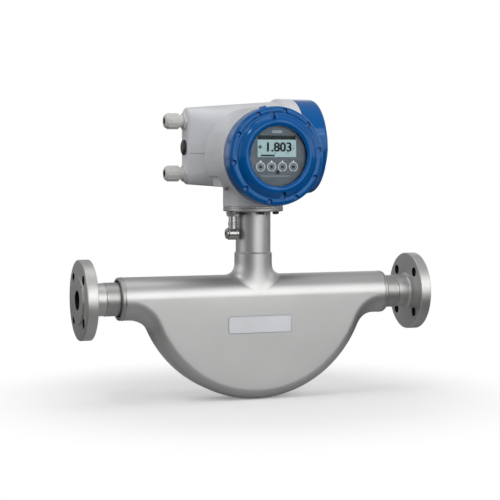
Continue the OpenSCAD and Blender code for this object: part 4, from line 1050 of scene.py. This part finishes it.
# On the panel: the reading with its plus sign, the header bar, the bar graph and its scale.
ink = lacquer("ink", (0.010, 0.016, 0.017), 0.6, gloss=0.1)
printed(
    "reading",
    [print_text("1.803", -0.0185 + shift, 0.0066, 0.0130, 0.00022, 1.02) for shift in bold_shifts]
    + [print_bar(*corners, panel_lift) for corners in (
        (-0.0280, 0.0120, -0.0222, 0.0136), (-0.0259, 0.0099, -0.0243, 0.0157),
        (-0.0285, 0.0230, 0.0285, 0.0292), (-0.0240, -0.0004, -0.0034, 0.0020),
        (0.0245, 0.0146, 0.0262, 0.0152), (0.0245, 0.0086, 0.0250, 0.0130))]
    + [print_text(words, u, 0.0034, 0.0018)
       for words, u in (("0", -0.0232), ("50", -0.0040), ("100", 0.0140))],
    ink)

# On the bezel: a ring and a dot for each key and a bracket under them all, the keys' dark
# lamps and a small window, a round sensor beside the keys, and a bare tab above the panel.
left, right, low, high, line_w = -0.0230, 0.0190, -0.0281, -0.0262, 0.0003
printed(
    "key_rings",
    [mark for u in key_us for mark in (print_disc(u, key_v, 0.0066, 0.0058),
                                       print_disc(u, mark_v, 0.0011))]
    + [print_bar(left, low, right, low + line_w), print_bar(left, low, left + line_w, high),
       print_bar(right - line_w, low, right, high)],
    lacquer("pale_print", (0.62, 0.65, 0.68), 0.4, gloss=0.1))
printed(
    "key_lamps",
    [print_disc(u, key_v, 0.0021, lift=key_lift) for u in key_us]
    + [print_disc(u, lamp_v, 0.0013) for u in key_us]
    + [print_bar(-0.0014, -0.0250, 0.0034, -0.0202), print_disc(0.0340, key_v, 0.0024, 0.0020)],
    ink)
printed("bezel_tab", [print_bar(-0.0075, 0.0322, 0.0075, 0.0358)],
        lacquer("tab_grey", (0.24, 0.27, 0.31), 0.4, gloss=0.15))


# --- Cable glands, blanking plug and earth screw ------------------------------------------------
# Two moulded glands with a hexagon and a ribbed dome nut stand out of the entry wall, with a
# black plug in the unused entry between them. The earth screw sits under the foot.
gland_flats, hex_l, gland_gap, nut_l = 0.024, 0.0065, 0.003, 0.0215
rib_count, rib_half, rib_l, hex_chamfer = 12, 0.0018, 0.0165, 0.0012
entries = {"upper": terminal_z + 0.036, "lower": terminal_z - 0.040}
plug_z = terminal_z - 0.002
outwards = (0, -90, 0)
pale_plastic = lacquer("pale_plastic", (0.77, 0.77, 0.75), 0.42, coat=0.1, relief=0.00002)
black_plastic = lacquer("black_plastic", (0.020, 0.021, 0.022), 0.36, relief=0.00002)


def hexagon_bar(name, flats, length, place, turn=(0, 0, 0)):
    """Six-sided bar along its axis, its corners rounded off by a turned chamfer."""
    piece = rod(across_corners(flats), length, (0, 0, length / 2), 6, (0, 0, 0))
    piece.name = name
    corner = flats / 2 * 1.1
    worked(piece, closed_ends(turned(
        "chamfer", [(-0.0001, corner - hex_chamfer), (hex_chamfer, corner),
                    (length - hex_chamfer, corner), (length + 0.0001, corner - hex_chamfer)],
        sides=72)), "INTERSECT")
    return placed(piece, place, turn)


bodies = []
for name, z in entries.items():
    place = (entry_x, terminal_y, z)
    bodies.append(hexagon_bar("gland_hex", gland_flats, hex_l, place, outwards))
    bodies.append(turned("gland_stem", [
        (-0.008, 0.0065), (-0.008, 0.0094), (-0.0075, 0.0099), (0.0, 0.0099),
        (hex_l + 0.0004, 0.0089), (hex_l + 0.015, 0.0089), (hex_l + 0.015, 0.0065),
        (-0.008, 0.0065)], place, outwards, sides=64))
    nut = turned(f"{name}_gland_dome", [
        (0, 0.0090), (0, 0.0108), (0.0006, 0.0114), (0.0120, 0.0114), (0.0124, 0.0111),
        (0.0165, 0.0110), (0.0182, 0.0106), (0.0197, 0.0098), (0.0208, 0.0086), (nut_l, 0.0070),
        (nut_l, 0.0056), (0.0205, 0.0056), (0.0195, 0.0075), (0.0130, 0.0075), (0.0130, 0.0090),
        (0, 0.0090)], sides=96)
    for k in range(rib_count):
        rib = block("rib", (0.0095, -rib_half, 0.0007), (0.0117, rib_half, rib_l))
        eased(rib, 0.0006)
        worked(nut, placed(rib, turn=(0, 0, 360 / rib_count * (k + 0.5))), "UNION")
    placed(nut, (entry_x - hex_l - gland_gap, terminal_y, z), outwards)
    eased(nut, 0.0002, 1, 40)
    finish(nut, pale_plastic, f"{name}_gland_nut")
    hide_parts(f"{name}_gland_nut")
glands = joined("gland_bodies_moulded", bodies)
eased(glands, 0.0003)
finish(glands, pale_plastic, "sensor")
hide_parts("gland_bodies")

stopper = closed_ends(turned("blanking_plug_moulded", [
    (-0.007, 0.001), (-0.007, 0.0094), (-0.0065, 0.0099), (0, 0.0099), (0, 0.0109),
    (0.0003, 0.01125), (0.0016, 0.01125), (0.0026, 0.0106), (0.0034, 0.0092), (0.0039, 0.0070),
    (0.0040, 0.0040), (0.0040, 0.001)], sides=96))
worked(stopper, block("slot", (-0.0062, -0.0009, 0.0025), (0.0062, 0.0009, 0.006)))
placed(stopper, (entry_x - running_gap, terminal_y, plug_z), outwards)
eased(stopper, 0.0002, 1)
finish(stopper, black_plastic, "blanking_plug")
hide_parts("blanking_plug")

earth = Vector((middle_x - plate_r - 0.006, -0.024, underside_z - 0.004))
earth_head = hexagon_bar("earth_screw_turned", 0.007, 0.0032, earth)
earth_washer = turned("earth_washer", [
    (0, 0.0018), (0, 0.0044), (0.0004, 0.00475), (0.0016, 0.00475), (0.0020, 0.0044),
    (0.0020, 0.0018), (0, 0.0018)], earth + Vector((0, 0, 0.002)), sides=48)
earth_screw = joined("earth_screw_turned", [earth_head, earth_washer])
eased(earth_screw, 0.0002, 1)
finish(earth_screw, port_steel, "sensor")
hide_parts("earth_screw")


# --- Measuring tubes and electronics ------------------------------------------------------------
# What the housings hide keeps its shape from the solid model and gets finished surfaces: drawn
# tubes, enamelled coils, plated magnets, the sealed wire feedthrough, boards and terminals.
tube_steel = steel("tube_steel", (0.66, 0.67, 0.68), 0.30, 1200, 0.00001)
enamelled_wire = steel("enamelled_wire", (0.72, 0.40, 0.22), 0.35, 3000, 0.00005, spread=0.15)
plated_magnet = steel("plated_magnet", (0.47, 0.47, 0.48), 0.18, 900, 0.000005)
satin_brass = steel("satin_brass", (0.72, 0.58, 0.30), 0.32, 1800, 0.00002, spread=0.1)
solder_mask = lacquer("solder_mask", (0.03, 0.20, 0.08), 0.35, coat=0.4, relief=0.00003,
                      relief_scale=1500)
moulded_green = lacquer("moulded_green", (0.05, 0.30, 0.12), 0.45, relief=0.00003)
for material, names in (
        (tube_steel, ("front_measuring_tube", "rear_measuring_tube", "node_plates")),
        (enamelled_wire, ("drive_coil", "pickoff_coils", "feedthrough_wires")),
        (plated_magnet, ("drive_magnet", "pickoff_magnets")),
        (satin_brass, ("temperature_sensor", "terminal_screws")),
        (shaded_plate_steel, ("feedthrough",)),
        (solder_mask, ("main_boards",)),
        (moulded_green, ("terminal_block",)),
        (black_plastic, ("electronics_carrier",))):
    for name in names:
        recoat(name, material)
